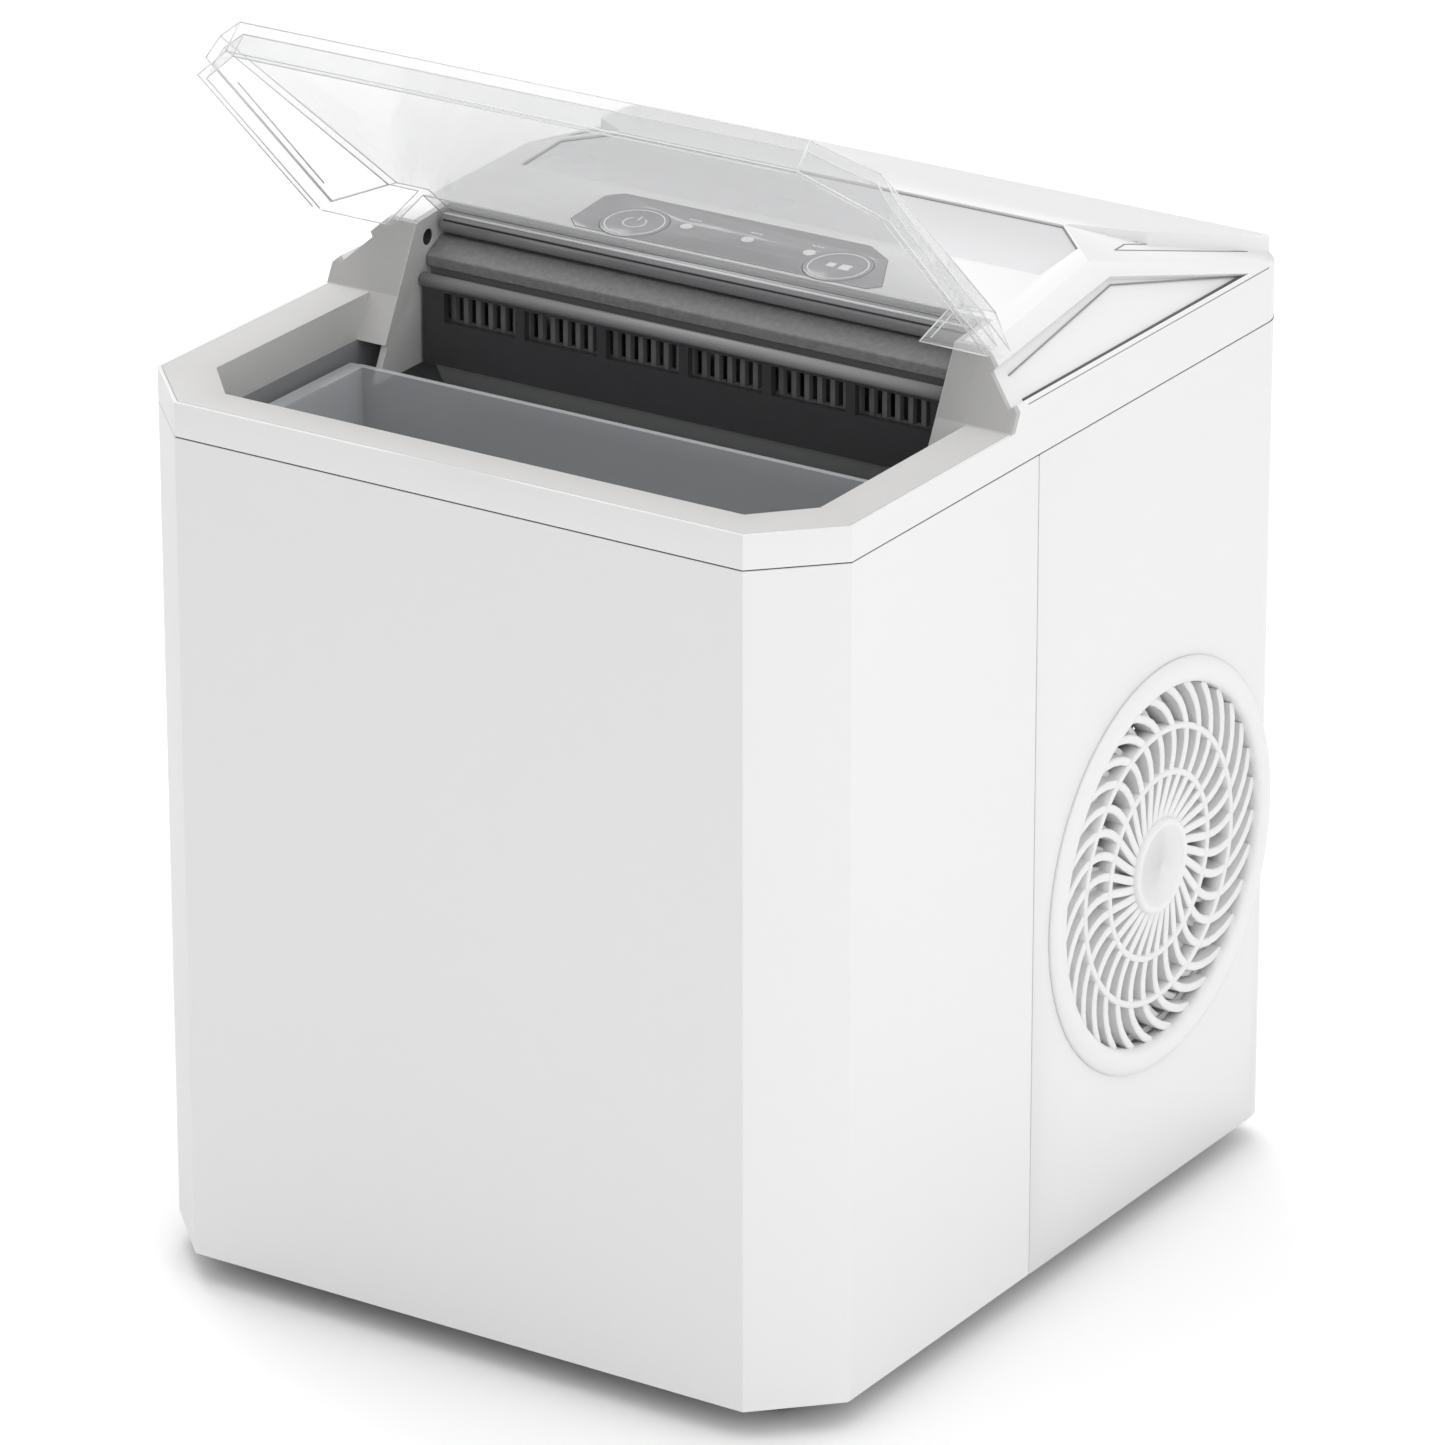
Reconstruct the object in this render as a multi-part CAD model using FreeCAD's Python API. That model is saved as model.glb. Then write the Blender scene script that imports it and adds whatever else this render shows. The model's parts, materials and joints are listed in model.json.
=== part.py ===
import FreeCAD, Part
import math
import os

# Counter-top ice maker: white two-part casing, faceted top, clear hinged lid over an ice well,
# tilting freezing tray behind it, compressor, condenser and fan in the rear.
# Millimetres. Origin on the table under the middle, +Z up, front faces -Y. The lid stands open.

V = FreeCAD.Vector
X_AXIS = V(1, 0, 0)
Y_AXIS = V(0, 1, 0)
Z_AXIS = V(0, 0, 1)

# ---------------------------------------------------------------- driving sizes: casing
body_w = 220.0           # casing width
body_d = 246.0           # casing depth
shell_h = 240.0          # height of the side shells
foot_h = 9.0             # rubber feet
foot_r = 9.0
foot_inset = 26.0        # foot centre in from the casing's sides
shell_drop = 1.0         # shells hang this far below the base pan
shell_t = 2.2            # shell wall
front_cut = 20.3         # front corner chamfer, both ways
rear_r = 12.0            # rear corner radius
seam_set = 113.15        # front face to the vertical seam of the two shells
seam_gap = 0.4           # open joint between casing parts
# ---------------------------------------------------------------- top cover and deck
band_h = 10.0            # white band round the well, above the shells
deck_rise = 18.8         # rim to the deck's front edge
deck_set = 108.4         # front face to the deck's front edge
deck_slope = 4.67        # deck rises to the back, degrees
facet_foot = 5.25        # rim to the foot of the sloping side facet
facet_tilt = 45.95       # side facet from the vertical, degrees
rear_break = 57.5        # back face to the line where the deck turns down
rear_slope = 14.0        # rear facet, degrees
corner_back = 76.5       # back face to the deck's rear outer corners
corner_cut_y = 18.0      # length of the deck's clipped rear corners along Y
corner_fall_x = 0.2585   # corner facet: fall per mm outward
corner_fall_y = 0.1843   # and per mm to the back
top_t = 3.0              # wall of the top cover
lip_h = 8.0              # lip inside the shells
lip_t = 1.6
side_recess = 1.8        # depth of the long recess in the side facet
recess_top = 5.3         # its distance from the ridge
recess_foot = 2.2        # and from the facet's foot
notch_r = 390.0          # shallow finger notch at the top of the front band
notch_deep = 0.7
notch_h = 6.5
# ---------------------------------------------------------------- well and lid
rim_w = 12.6             # rim's width at the front
rim_side_w = 14.3        # and at the sides
rim_t = 2.0
well_d = 98.8            # front face to the foot of the sloping cheeks
cheek_lean = 27.1        # cheeks lean back, degrees
cheek_t = 1.4
throat_side = 23.7       # casing side to the throat between the cheeks
liner_t = 2.0
skirt_h = 12.0           # the frame's skirt below the rim
throat_drop = 10.0       # throat walls below the skirt
lid_gap = 0.6            # lid to rim and to the deck's surfaces
lid_t = 2.4
lid_open = 45.5          # angle of the lid as it stands, degrees
lobe_r = 7.0             # round lower corners of the lid's end plates
hinge_set = 121.0        # front face to the lid's hinge axis
barrel_r = 3.2
pin_r = 1.5
pin_fit = 0.05           # radial running clearance of pins and shafts
# ---------------------------------------------------------------- controls
panel_w = 101.0
panel_l = 25.0
panel_set = 126.5        # front face to the panel's front edge
panel_t = 1.6
button_r = 9.6
button_x = 32.8
button_set = 9.0         # panel's front edge to the buttons' centres
button_travel = 0.8
lamp_r = 1.8
lamp_pitch = 19.8
board_clear = 0.58       # control board below the evaporator's cover
cover_t = 2.0            # wall of the evaporator's cover
board_t = 1.6
# ---------------------------------------------------------------- ice works
tank_foot = 56.0         # base pan to the underside of the tank
basket_h = 104.0
basket_t = 2.0
basket_fit = 5.5         # basket to the well's wall
basket_drop = 16.0       # rim to the basket's edge
tray_set = 25.0          # hinge axis back to the tray's axis
tray_drop = 26.2         # hinge axis down to the tray's axis
tray_r = 32.0            # inside radius of the tray
tray_t = 2.0
tray_angle = 60.0
finger_count = 6
finger_pitch = 26.6
finger_r = 4.6
finger_clear = 4.0       # fingers' tips to the tray's floor
tub_floor = 40.0         # tray's axis down to the tub's floor
pusher_h = 23.6
window_h = 8.6           # windows in the pusher below its rod
guard_pitch = 4.1
guard_bar = 1.5
# ---------------------------------------------------------------- works in the rear
pan_t = 3.0
bulk_t = 2.0
fan_back = 65.5          # back face to the fan's axis
fan_z = 105.6
fan_r = 46.5
fan_hub_r = 17.0
grille_r = 52.0          # open radius of the side grille
grille_rim = 7.5
grille_out = 2.0         # grille and vent stand out of the casing
comp_r = 46.0
comp_h = 112.0
comp_lift = 9.0          # grommets
comp_x = -46.0
comp_back = 58.0         # back face to the compressor's axis
pipe_r = 3.0

# ---------------------------------------------------------------- derived places
hw = body_w / 2
front_y = -body_d / 2
back_y = body_d / 2
shell_z = foot_h - shell_drop
seam_z = shell_z + shell_h
rim_z = seam_z + band_h
pan_z = foot_h
pan_top = pan_z + pan_t
seam_y = front_y + seam_set
deck_y = front_y + deck_set
deck_z = rim_z + deck_rise
facet_z = rim_z + facet_foot
hinge_y = front_y + hinge_set
tan_deck = math.tan(math.radians(deck_slope))


def deck_height(y):
    """Height of the deck's surface at y."""
    return deck_z + (y - deck_y) * tan_deck


hinge_z = deck_height(hinge_y) - lid_gap * 0.7 - barrel_r
deck_front = hinge_y + barrel_r + lid_gap
board_drop = lid_gap * 0.7 + 2 * barrel_r + 0.6 + cover_t + board_clear
throat = hw - throat_side
well_hw = hw - rim_side_w
well_y = front_y + rim_w
skirt_z = rim_z - skirt_h
tray_y = hinge_y + tray_set
tray_z = hinge_z - tray_drop
bulk_y = hinge_y + 5.3
far = 900.0


# ---------------------------------------------------------------- helpers
def box(x0, x1, y0, y1, z0, z1):
    """Box between two corners."""
    return Part.makeBox(x1 - x0, y1 - y0, z1 - z0, V(x0, y0, z0))


def cyl(r, length, start, axis=Z_AXIS):
    """Cylinder from its start point along its axis."""
    return Part.makeCylinder(r, length, start, axis)


def ring(r_out, r_in, length, start, axis=Z_AXIS):
    """Tube from its start point along its axis."""
    unit = V(axis).normalize()
    return cyl(r_out, length, start, axis).cut(cyl(r_in, length + 2, start - unit, axis))


def prism(points, z0, z1):
    """Upright prism on a polygon in plan."""
    wire = Part.makePolygon([V(x, y, z0) for x, y in points] + [V(points[0][0], points[0][1], z0)])
    return Part.Face(wire).extrude(V(0, 0, z1 - z0))


def bar_x(points, x0, x1):
    """Bar along X with a polygon section given as (y, z)."""
    wire = Part.makePolygon([V(x0, y, z) for y, z in points] + [V(x0, points[0][0], points[0][1])])
    return Part.Face(wire).extrude(V(x1 - x0, 0, 0))


def below(point, normal):
    """Large block that fills the side of a plane its normal points away from."""
    block = Part.makeBox(far, far, far, V(-far / 2, -far / 2, -far))
    block.Placement = FreeCAD.Placement(point, FreeCAD.Rotation(Z_AXIS, normal))
    return block


def fuse(shapes):
    """One shape from several that touch or overlap."""
    result = shapes[0]
    for shape in shapes[1:]:
        result = result.fuse(shape)
    return result.removeSplitter()


def mirrored(shape):
    """Copy on the other side of the middle plane."""
    return shape.mirror(V(0, 0, 0), X_AXIS)


def tube(points, r, bend):
    """Round tube along straight runs joined by tangent arcs."""
    pts = [V(*p) for p in points]
    edges = []
    last = pts[0]
    for a, b, c in zip(pts, pts[1:], pts[2:]):
        back = (a - b).normalize()
        ahead = (c - b).normalize()
        turn = math.pi - back.getAngle(ahead)
        trim = bend * math.tan(turn / 2)
        start = b + back * trim
        end = b + ahead * trim
        middle_way = (back + ahead).normalize()
        middle = b + middle_way * (math.hypot(bend, trim) - bend)
        edges.append(Part.LineSegment(last, start).toShape())
        edges.append(Part.Arc(start, middle, end).toShape())
        last = end
    edges.append(Part.LineSegment(last, pts[-1]).toShape())
    path = Part.Wire(edges)
    section = Part.Wire(Part.makeCircle(r, pts[0], pts[1] - pts[0]))
    return path.makePipeShell([section], True, False)


def save(name, shapes):
    """Write one node as its own STEP file."""
    solids = []
    for shape in shapes:
        solids.extend(shape.Solids)
    Part.makeCompound(solids).exportStep("parts/" + name + ".step") if len(solids) > 1 \
        else solids[0].exportStep("parts/" + name + ".step")


def clipped(half, y0, y1, cut_x, cut_y, inset):
    """Plan outline with two clipped front corners, moved inward by inset."""
    length = math.hypot(cut_x, cut_y)
    side_y = y0 + (cut_y * (cut_x - inset) + inset * length) / cut_x
    front_x = half - cut_x + (cut_x - length) * inset / cut_y
    x = half - inset
    return [(-x, y1 - inset), (-x, side_y), (-front_x, y0 + inset), (front_x, y0 + inset),
            (x, side_y), (x, y1 - inset)]


def plan(inset, z0, z1):
    """Upright block on the casing's outline, moved inward by inset."""
    block = prism(clipped(hw, front_y, back_y, front_cut, front_cut, inset), z0, z1)
    corners = [e for e in block.Edges
               if abs(e.Vertexes[0].Z - e.Vertexes[-1].Z) > 1 and e.CenterOfMass.y > back_y - inset - 0.1]
    return block.makeFillet(max(rear_r - inset, 1.0), corners)


def well_block(inset, y1, z0, z1):
    """Upright block on the well's outline, moved inward by inset, closed at y1."""
    return prism(clipped(well_hw, well_y, y1 + inset, 13.7, 14.9, inset), z0, z1)


os.makedirs("parts", exist_ok=True)

# ---------------------------------------------------------------- outer surface of deck and lid
corner_x = hw - (deck_height(back_y - corner_back) - facet_z) * math.tan(math.radians(facet_tilt))
corner_y = back_y - corner_back
corner_z = deck_height(corner_y)
clip_x = corner_x - corner_cut_y
rear_y = back_y - rear_break
step_line = [(corner_x, corner_y), (clip_x - 0.5, corner_y + corner_cut_y),
             (corner_x - 1.65, corner_y + 34), (hw - 6.6, corner_y + 70.6), (hw - 4, back_y + 8),
             (hw + 40, back_y + 8), (hw + 40, corner_y)]


def crown(inset, z0):
    """Faceted block that deck and lid are cut from, moved inward by inset."""
    tilt = math.radians(facet_tilt)
    slope = math.radians(deck_slope)
    fall = math.radians(rear_slope)
    block = plan(inset, z0, deck_z + 60)
    planes = [(V(0, deck_y, deck_z), V(0, -math.sin(slope), math.cos(slope))),
              (V(0, rear_y, deck_height(rear_y)), V(0, math.sin(fall), math.cos(fall))),
              (V(hw, 0, facet_z), V(math.cos(tilt), 0, math.sin(tilt))),
              (V(-hw, 0, facet_z), V(-math.cos(tilt), 0, math.sin(tilt)))]
    for point, normal in planes:
        block = block.common(below(point - normal * inset, normal))
    normal = V(corner_fall_x, corner_fall_y, 1).normalize()
    shift = inset * 0.7
    for side in (1, -1):
        keep = below(V(side * corner_x, corner_y, corner_z) - V(side * normal.x, normal.y, normal.z) * inset,
                     V(side * normal.x, normal.y, normal.z))
        region = prism([(side * (x - shift), y - shift) for x, y in step_line], z0 - 1, deck_z + 80)
        block = block.cut(region.cut(keep))
    return block


lean = math.radians(cheek_lean)
cheek_normal = V(0, -math.cos(lean), math.sin(lean))
cheek_foot = V(0, front_y + well_d, rim_z)


def behind_cheek(offset):
    """Block behind the sloping cheek plane, moved back by offset."""
    return below(cheek_foot - cheek_normal * offset, cheek_normal)


def facet_recess(side, y0, depth, lift):
    """Long three-sided recess of the side facet, from y0 to the back."""
    tilt = math.radians(facet_tilt)
    ridge0 = (deck_height(y0) - facet_z) / math.cos(tilt)
    ridge1 = (corner_z - facet_z) / math.cos(tilt)
    marks = [(y0, recess_foot), (back_y - 20.5, recess_foot), (corner_y + 3.4, ridge1 - recess_top - 1.2),
             (y0, max(ridge0 - recess_top, recess_foot + 0.4))]
    normal = V(side * math.cos(tilt), 0, math.sin(tilt))
    pts = [V(side * (hw - s * math.sin(tilt)), y, facet_z + s * math.cos(tilt)) + normal * lift
           for y, s in marks]
    face = Part.Face(Part.makePolygon(pts + [pts[0]]))
    return face.extrude(normal * (-(depth + lift)))


# ---------------------------------------------------------------- shells and base
shell = plan(0, shell_z, seam_z).cut(plan(shell_t, shell_z - 1, seam_z + 1))
front_half = box(-far, far, -far, seam_y - seam_gap / 2, -far, far)
rear_half = box(-far, far, seam_y + seam_gap / 2, far, -far, far)
boss_spots = [(sx * (hw - 9), sy) for sy in (front_y + 40, back_y - 22) for sx in (1, -1)]
boss_h = 16.0
boss_r = 4.0
screw_r = 1.6


def shell_boss(x, y):
    """Screw boss that stands on the base pan, with a web to the shell's side."""
    side = 1 if x > 0 else -1
    web_x = sorted([x, side * (hw - shell_t / 2)])
    body = cyl(boss_r, boss_h, V(x, y, pan_top)).fuse(
        box(web_x[0], web_x[1], y - 1.2, y + 1.2, pan_top, pan_top + boss_h))
    return body.cut(cyl(screw_r + pin_fit, boss_h - 4, V(x, y, pan_top)))


front_shell = fuse([shell.common(front_half)] + [shell_boss(x, y) for x, y in boss_spots[:2]])
drain_y = front_y + 62
drain_z = pan_top + 18
socket_r = 8.0
front_shell = front_shell.cut(cyl(socket_r + 0.3, 20, V(-hw - 5, drain_y, drain_z), X_AXIS))
save("front_shell", [front_shell])

fan_y = back_y - fan_back
vent_y0 = back_y - 111
vent_y1 = back_y - 21
vent_z0 = shell_z + 55
vent_z1 = shell_z + 145
gland_x = -hw + 36
gland_z = shell_z + 34
pocket = 11.0
cord_hole_r = 3.6
pocket_half = 15.0
rear_shell = fuse([shell.common(rear_half)] + [shell_boss(x, y) for x, y in boss_spots[2:]])
rear_shell = rear_shell.cut(cyl(grille_r + 1.0, 30, V(hw - 15, fan_y, fan_z), X_AXIS))
rear_shell = rear_shell.cut(box(-hw - 5, -hw + 15, vent_y0 + 4, vent_y1 - 4, vent_z0 + 4, vent_z1 - 4))
for i in range(9):
    slot_z = shell_z + 60 + i * 9
    rear_shell = rear_shell.cut(box(12, 74, back_y - 6, back_y + 2, slot_z, slot_z + 4))
pocket_block = box(gland_x - pocket_half, gland_x + pocket_half, back_y - pocket, back_y - 0.5,
                   gland_z - pocket_half, gland_z + pocket_half)
pocket_room = box(gland_x - pocket_half + shell_t, gland_x + pocket_half - shell_t, back_y - pocket + shell_t,
                  back_y + 2, gland_z - pocket_half + shell_t, gland_z + pocket_half - shell_t)
gland_r = 7.0
rear_shell = rear_shell.fuse(pocket_block).cut(pocket_room)
rear_shell = rear_shell.cut(cyl(gland_r + 0.2, 20, V(gland_x, back_y - pocket - 5, gland_z), Y_AXIS))
save("rear_shell", [rear_shell])
gland_wall = back_y - pocket
gland = fuse([cyl(gland_r, pocket - 1.0, V(gland_x, gland_wall - 3.0, gland_z), Y_AXIS),
              cyl(gland_r + 2.5, 2.0, V(gland_x, gland_wall + shell_t, gland_z), Y_AXIS),
              cyl(gland_r + 2.5, 2.0, V(gland_x, gland_wall - 2.0, gland_z), Y_AXIS)])
gland = gland.cut(cyl(cord_hole_r, 40, V(gland_x, gland_wall - 20, gland_z), Y_AXIS))
save("power_gland", [gland])

pan_rim = 8.0
base_pan = plan(shell_t + 0.3, pan_z, pan_top + pan_rim).cut(
    plan(shell_t + 0.3 + 2.0, pan_top, pan_top + pan_rim + 1))
for x, y in boss_spots:
    base_pan = base_pan.cut(cyl(screw_r + 0.1, 20, V(x, y, pan_z - 5)))
    side = 1 if x > 0 else -1
    cut_x = sorted([side * (hw - 10), side * (hw + 1)])
    base_pan = base_pan.cut(box(cut_x[0], cut_x[1], y - 1.6, y + 1.6, pan_top, pan_top + pan_rim + 1))
foot_spots = [(sx * (hw - foot_inset), sy) for sx in (-1, 1) for sy in (front_y + foot_inset, back_y - foot_inset)]
foot_screw_r = 2.0
for x, y in foot_spots:
    base_pan = base_pan.cut(cyl(foot_screw_r + 0.1, 20, V(x, y, pan_z - 5)))
save("base_pan", [base_pan])

feet = []
foot_screws = []
for x, y in foot_spots:
    foot = Part.makeCone(foot_r - 1.5, foot_r, foot_h, V(x, y, 0))
    foot = foot.cut(cyl(foot_screw_r + 0.1, foot_h + 2, V(x, y, -1)))
    foot = foot.cut(cyl(4.2, 4.0, V(x, y, -0.5)))
    feet.append(foot)
    foot_screws.append(cyl(3.8, 1.8, V(x, y, 3.5 - 1.8)).fuse(cyl(foot_screw_r, pan_top - 3.5, V(x, y, 3.5))))
save("feet", feet)
save("foot_screws", foot_screws)

base_screws = [cyl(3.2, 1.6, V(x, y, pan_z - 1.6)).fuse(cyl(screw_r, pan_t + 10, V(x, y, pan_z)))
               for x, y in boss_spots]
save("base_screws", base_screws)

# ---------------------------------------------------------------- top cover
outer = crown(0, seam_z + seam_gap)
inner = crown(top_t, seam_z - 1)
front_space = box(-far, far, -far, far, rim_z, far).cut(behind_cheek(cheek_t))
throat_out = throat + liner_t
throat_space = box(-throat_out, throat_out, front_y + 60, deck_front, rim_z - 30, far)
top_cover = outer.cut(inner).cut(front_space).cut(throat_space)
flange_room = prism(clipped(hw, front_y, back_y, front_cut, front_cut, 1.0), rim_z - rim_t, rim_z + 1).cut(
    behind_cheek(cheek_t))
top_cover = top_cover.cut(flange_room)
beam = box(-throat_out - 1, throat_out + 1, deck_front, deck_front + 2.5, hinge_z - barrel_r - 0.5, far).common(outer)
lip = plan(shell_t + 0.2, seam_z - lip_h, seam_z + seam_gap + 1).cut(
    plan(shell_t + 0.2 + lip_t, seam_z - lip_h - 1, seam_z + seam_gap + 2))
lip_ring = plan(top_t - 0.6, seam_z + seam_gap, seam_z + seam_gap + 1.4).cut(
    plan(shell_t + 0.2 + lip_t, seam_z, seam_z + seam_gap + 2))
top_cover = fuse([top_cover, beam, lip, lip_ring])
recess = [facet_recess(side, deck_y - 30, side_recess, 3.0) for side in (1, -1)]
for cut in recess:
    top_cover = top_cover.cut(cut)
notch = Part.makeCone(notch_r - notch_deep, notch_r, notch_h, V(0, front_y - notch_r + notch_deep, rim_z - notch_h))
top_cover = top_cover.cut(notch)

# deck panel recess and panel, on the sloping deck
deck_turn = FreeCAD.Rotation(X_AXIS, deck_slope)


def on_deck(shape, y):
    """Shape drawn about the origin, laid on the deck's surface at y."""
    copy = shape.copy()
    copy.Placement = FreeCAD.Placement(V(0, y, deck_height(y)), deck_turn)
    return copy


inset_y0 = front_y + 155.5
inset_y1 = rear_y - 1.2
inset_mid = corner_y + 6.0
inset_x = corner_x - 6.9
inset_t = 1.2


def inset_outline(gap):
    """Plan of the deck's clipped inset panel about its front edge."""
    length = inset_y1 - inset_y0
    clip = inset_y1 - inset_mid
    return [(-inset_x + gap, gap), (inset_x - gap, gap), (inset_x - gap, length - clip),
            (inset_x - clip, length - gap), (-inset_x + clip, length - gap), (-inset_x + gap, length - clip)]


top_cover = top_cover.cut(on_deck(prism(inset_outline(0), -2.0, 6), inset_y0))
deck_panel = on_deck(prism(inset_outline(0.25), -2.0, -2.0 + inset_t), inset_y0)
save("deck_panel", [deck_panel])

panel_y = front_y + panel_set
half = panel_w / 2


def panel_outline(gap):
    """Plan of the control panel, with its right end cut on the slant."""
    return [(-half + 4 + gap, gap), (half - 3 - gap, gap), (half - gap, 3 + gap), (half - 8 - gap, panel_l - 6),
            (half - 17 - gap, panel_l - gap), (-half + 4 + gap, panel_l - gap), (-half + gap, panel_l - 4),
            (-half + gap, 4)]


buttons = [("left_button", -button_x), ("right_button", button_x)]
lamps = [-lamp_pitch + 1, 1.0, lamp_pitch + 1]
lamp_y = button_set + 4.4
top_cover = top_cover.cut(on_deck(prism(panel_outline(0), -panel_t, 6), panel_y))
panel = prism(panel_outline(0.15), -panel_t, 0.2)
control_cuts = []
for name, x in buttons:
    panel = panel.cut(cyl(button_r + 0.25, 6, V(x, button_set, -3)))
    control_cuts.append(cyl(button_r + 0.25, 12, V(x, button_set, -9)))
for x in lamps:
    panel = panel.cut(cyl(lamp_r + 0.1, 6, V(x, lamp_y, -3)))
    control_cuts.append(cyl(lamp_r + 0.2, 12, V(x, lamp_y, -9)))
for cut in control_cuts:
    top_cover = top_cover.cut(on_deck(cut, panel_y))
save("control_panel", [on_deck(panel, panel_y)])

for name, x in buttons:
    head = cyl(button_r, 2.2, V(x, button_set, -1.9))
    stem = cyl(3.0, 3.0, V(x, button_set, -4.9))
    flange = box(x - button_r - 1.6, x + button_r + 1.6, button_set - 6, button_set + 1, -top_t - 1.4, -top_t - 0.2)
    save(name, [on_deck(fuse([head, stem, flange]), panel_y)])
save("indicator_lenses", [on_deck(cyl(lamp_r, 6.0, V(x, lamp_y, -5.8)), panel_y) for x in lamps])

board_posts = [(-half + 4, 3.5), (half - 4, 3.5), (-half + 4, panel_l - 3.5), (half - 14, panel_l - 3.5)]
posts = [on_deck(cyl(2.2, board_drop - 2.0, V(x, y, -board_drop)), panel_y) for x, y in board_posts]
top_cover = fuse([top_cover] + posts)
board = box(-half, half - 2, -1, panel_l + 1, -board_drop - board_t, -board_drop)
switches = [box(x - 3, x + 3, button_set - 3, button_set + 3, -board_drop, -4.9 - button_travel - 0.2)
            for name, x in buttons]
lights = [box(x - 1.5, x + 1.5, lamp_y - 1.2, lamp_y + 1.2, -board_drop, -board_drop + 1.6) for x in lamps]
chip = box(-9, 9, 3, 9, -board_drop - board_t - 2, -board_drop - board_t)
save("control_board", [on_deck(fuse([board] + switches + lights + [chip]), panel_y)])
save("top_cover", [top_cover])

# ---------------------------------------------------------------- well frame: rim, cheeks and throat
flange = prism(clipped(hw, front_y, back_y, front_cut, front_cut, 1.15), rim_z - rim_t, rim_z).cut(
    behind_cheek(0.0))
opening = well_block(0, bulk_y + 60, skirt_z - 1, rim_z + 1)
skirt = well_block(-liner_t, bulk_y + 60, skirt_z, rim_z).cut(behind_cheek(0.0))
cheek_slab = behind_cheek(0.0).cut(behind_cheek(cheek_t - 0.1))
cheek_zone = crown(0.15, rim_z - 0.01).fuse(box(-well_hw - liner_t, well_hw + liner_t, -far, far, skirt_z, rim_z))
cheek = cheek_slab.common(cheek_zone).cut(box(-throat, throat, -far, far, -far, far))
side_wall = box(throat, throat_out, -far, deck_front - 0.1, skirt_z - throat_drop, far).common(
    behind_cheek(cheek_t - 0.2)).common(crown(0.0, 0))
side_wall = side_wall.cut(cyl(pin_r + pin_fit, 20, V(throat - 5, hinge_y, hinge_z), X_AXIS))
pusher_y = hinge_y - 10.5
pusher_z = hinge_z - 14.0
pusher_rod = 1.5
side_wall = side_wall.cut(cyl(pusher_rod + pin_fit, 20, V(throat - 5, pusher_y, pusher_z), X_AXIS))
sensor_y = hinge_y - 6.1
sensor_z = hinge_z - 1.3
sensor_r = 2.3
side_wall = side_wall.cut(cyl(sensor_r + 0.05, 20, V(throat - 5, sensor_y - 1.2, sensor_z - 1.6), X_AXIS))
well_frame = fuse([flange.cut(opening), skirt.cut(opening), cheek, side_wall, mirrored(side_wall)])
for side in (1, -1):
    well_frame = well_frame.cut(facet_recess(side, deck_y - 30, side_recess, 3.0))
save("well_frame", [well_frame])

sensors = []
for side in (1, -1):
    body = cyl(sensor_r, 5.0, V(side * (throat + 0.3), sensor_y - 1.2, sensor_z - 1.6), X_AXIS * side)
    plate_x = sorted([side * (throat_out + 0.0), side * (throat_out + 3.3)])
    sensors.append(body.fuse(box(plate_x[0], plate_x[1], sensor_y - 4.6, sensor_y + 2.2, sensor_z - 4.2, sensor_z + 1.0)))
save("ice_sensors", sensors)

# ---------------------------------------------------------------- lid, drawn closed and then opened
lid_side = 1.4


def opened(shape):
    """Shape drawn on the closed lid, turned to the lid's standing angle."""
    return shape.rotated(V(0, hinge_y, hinge_z), X_AXIS, -lid_open)


lid_front = behind_cheek(-0.8)
lid_out = crown(lid_gap * 0.7, 0).common(plan(lid_side, 0, far)).common(box(-far, far, -far, far, rim_z + lid_gap, far))
lid_in = crown(lid_gap * 0.7 + lid_t, 0).common(plan(lid_side + lid_t, 0, far))
plate_half = throat - 1.0
body = lid_out.cut(lid_front)
room = lid_in.cut(behind_cheek(-0.8 - lid_t))
body = body.cut(room)
window = box(-plate_half, plate_half, hinge_y - 45, far, rim_z, hinge_z + barrel_r - lid_t - 0.4)
window = window.common(crown(lid_gap * 0.7 + lid_t, 0))
tongue = lid_out.common(box(-plate_half, plate_half, deck_y - 12, hinge_y, -far, far)).common(
    below(V(0, deck_y, deck_z - (lid_gap * 0.7 + lid_t)), V(0, math.sin(math.radians(deck_slope)),
                                                         -math.cos(math.radians(deck_slope)))))
barrel = cyl(barrel_r, 2 * plate_half, V(-plate_half, hinge_y, hinge_z), X_AXIS)
lid = fuse([body.cut(window), tongue, barrel])
plate_low = V(0, cheek_foot.y - (0.8 - lid_gap * math.sin(lean)) / math.cos(lean), rim_z + lid_gap)
trim = lobe_r * math.tan((math.pi / 2 - lean) / 2)
lobe = V(0, plate_low.y - trim, plate_low.z + lobe_r)
corner = bar_x([(plate_low.y - trim, plate_low.z), (plate_low.y, plate_low.z),
                (plate_low.y + trim * math.sin(lean), plate_low.z + trim * math.cos(lean)), (lobe.y, lobe.z)], -hw, hw)
lid = lid.cut(corner.cut(cyl(lobe_r, 2 * hw, V(-hw, lobe.y, lobe.z), X_AXIS)))
pin_in = 14.0
for side in (1, -1):
    lid = lid.cut(cyl(pin_r + 0.02, pin_in, V(side * plate_half, hinge_y, hinge_z), X_AXIS * -side))
save("lid", [opened(lid)])
pins = [cyl(pin_r, pin_in + 1.0 + liner_t, V(side * (plate_half - pin_in), hinge_y, hinge_z), X_AXIS * side)
        for side in (1, -1)]
save("lid_pins", pins)

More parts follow.
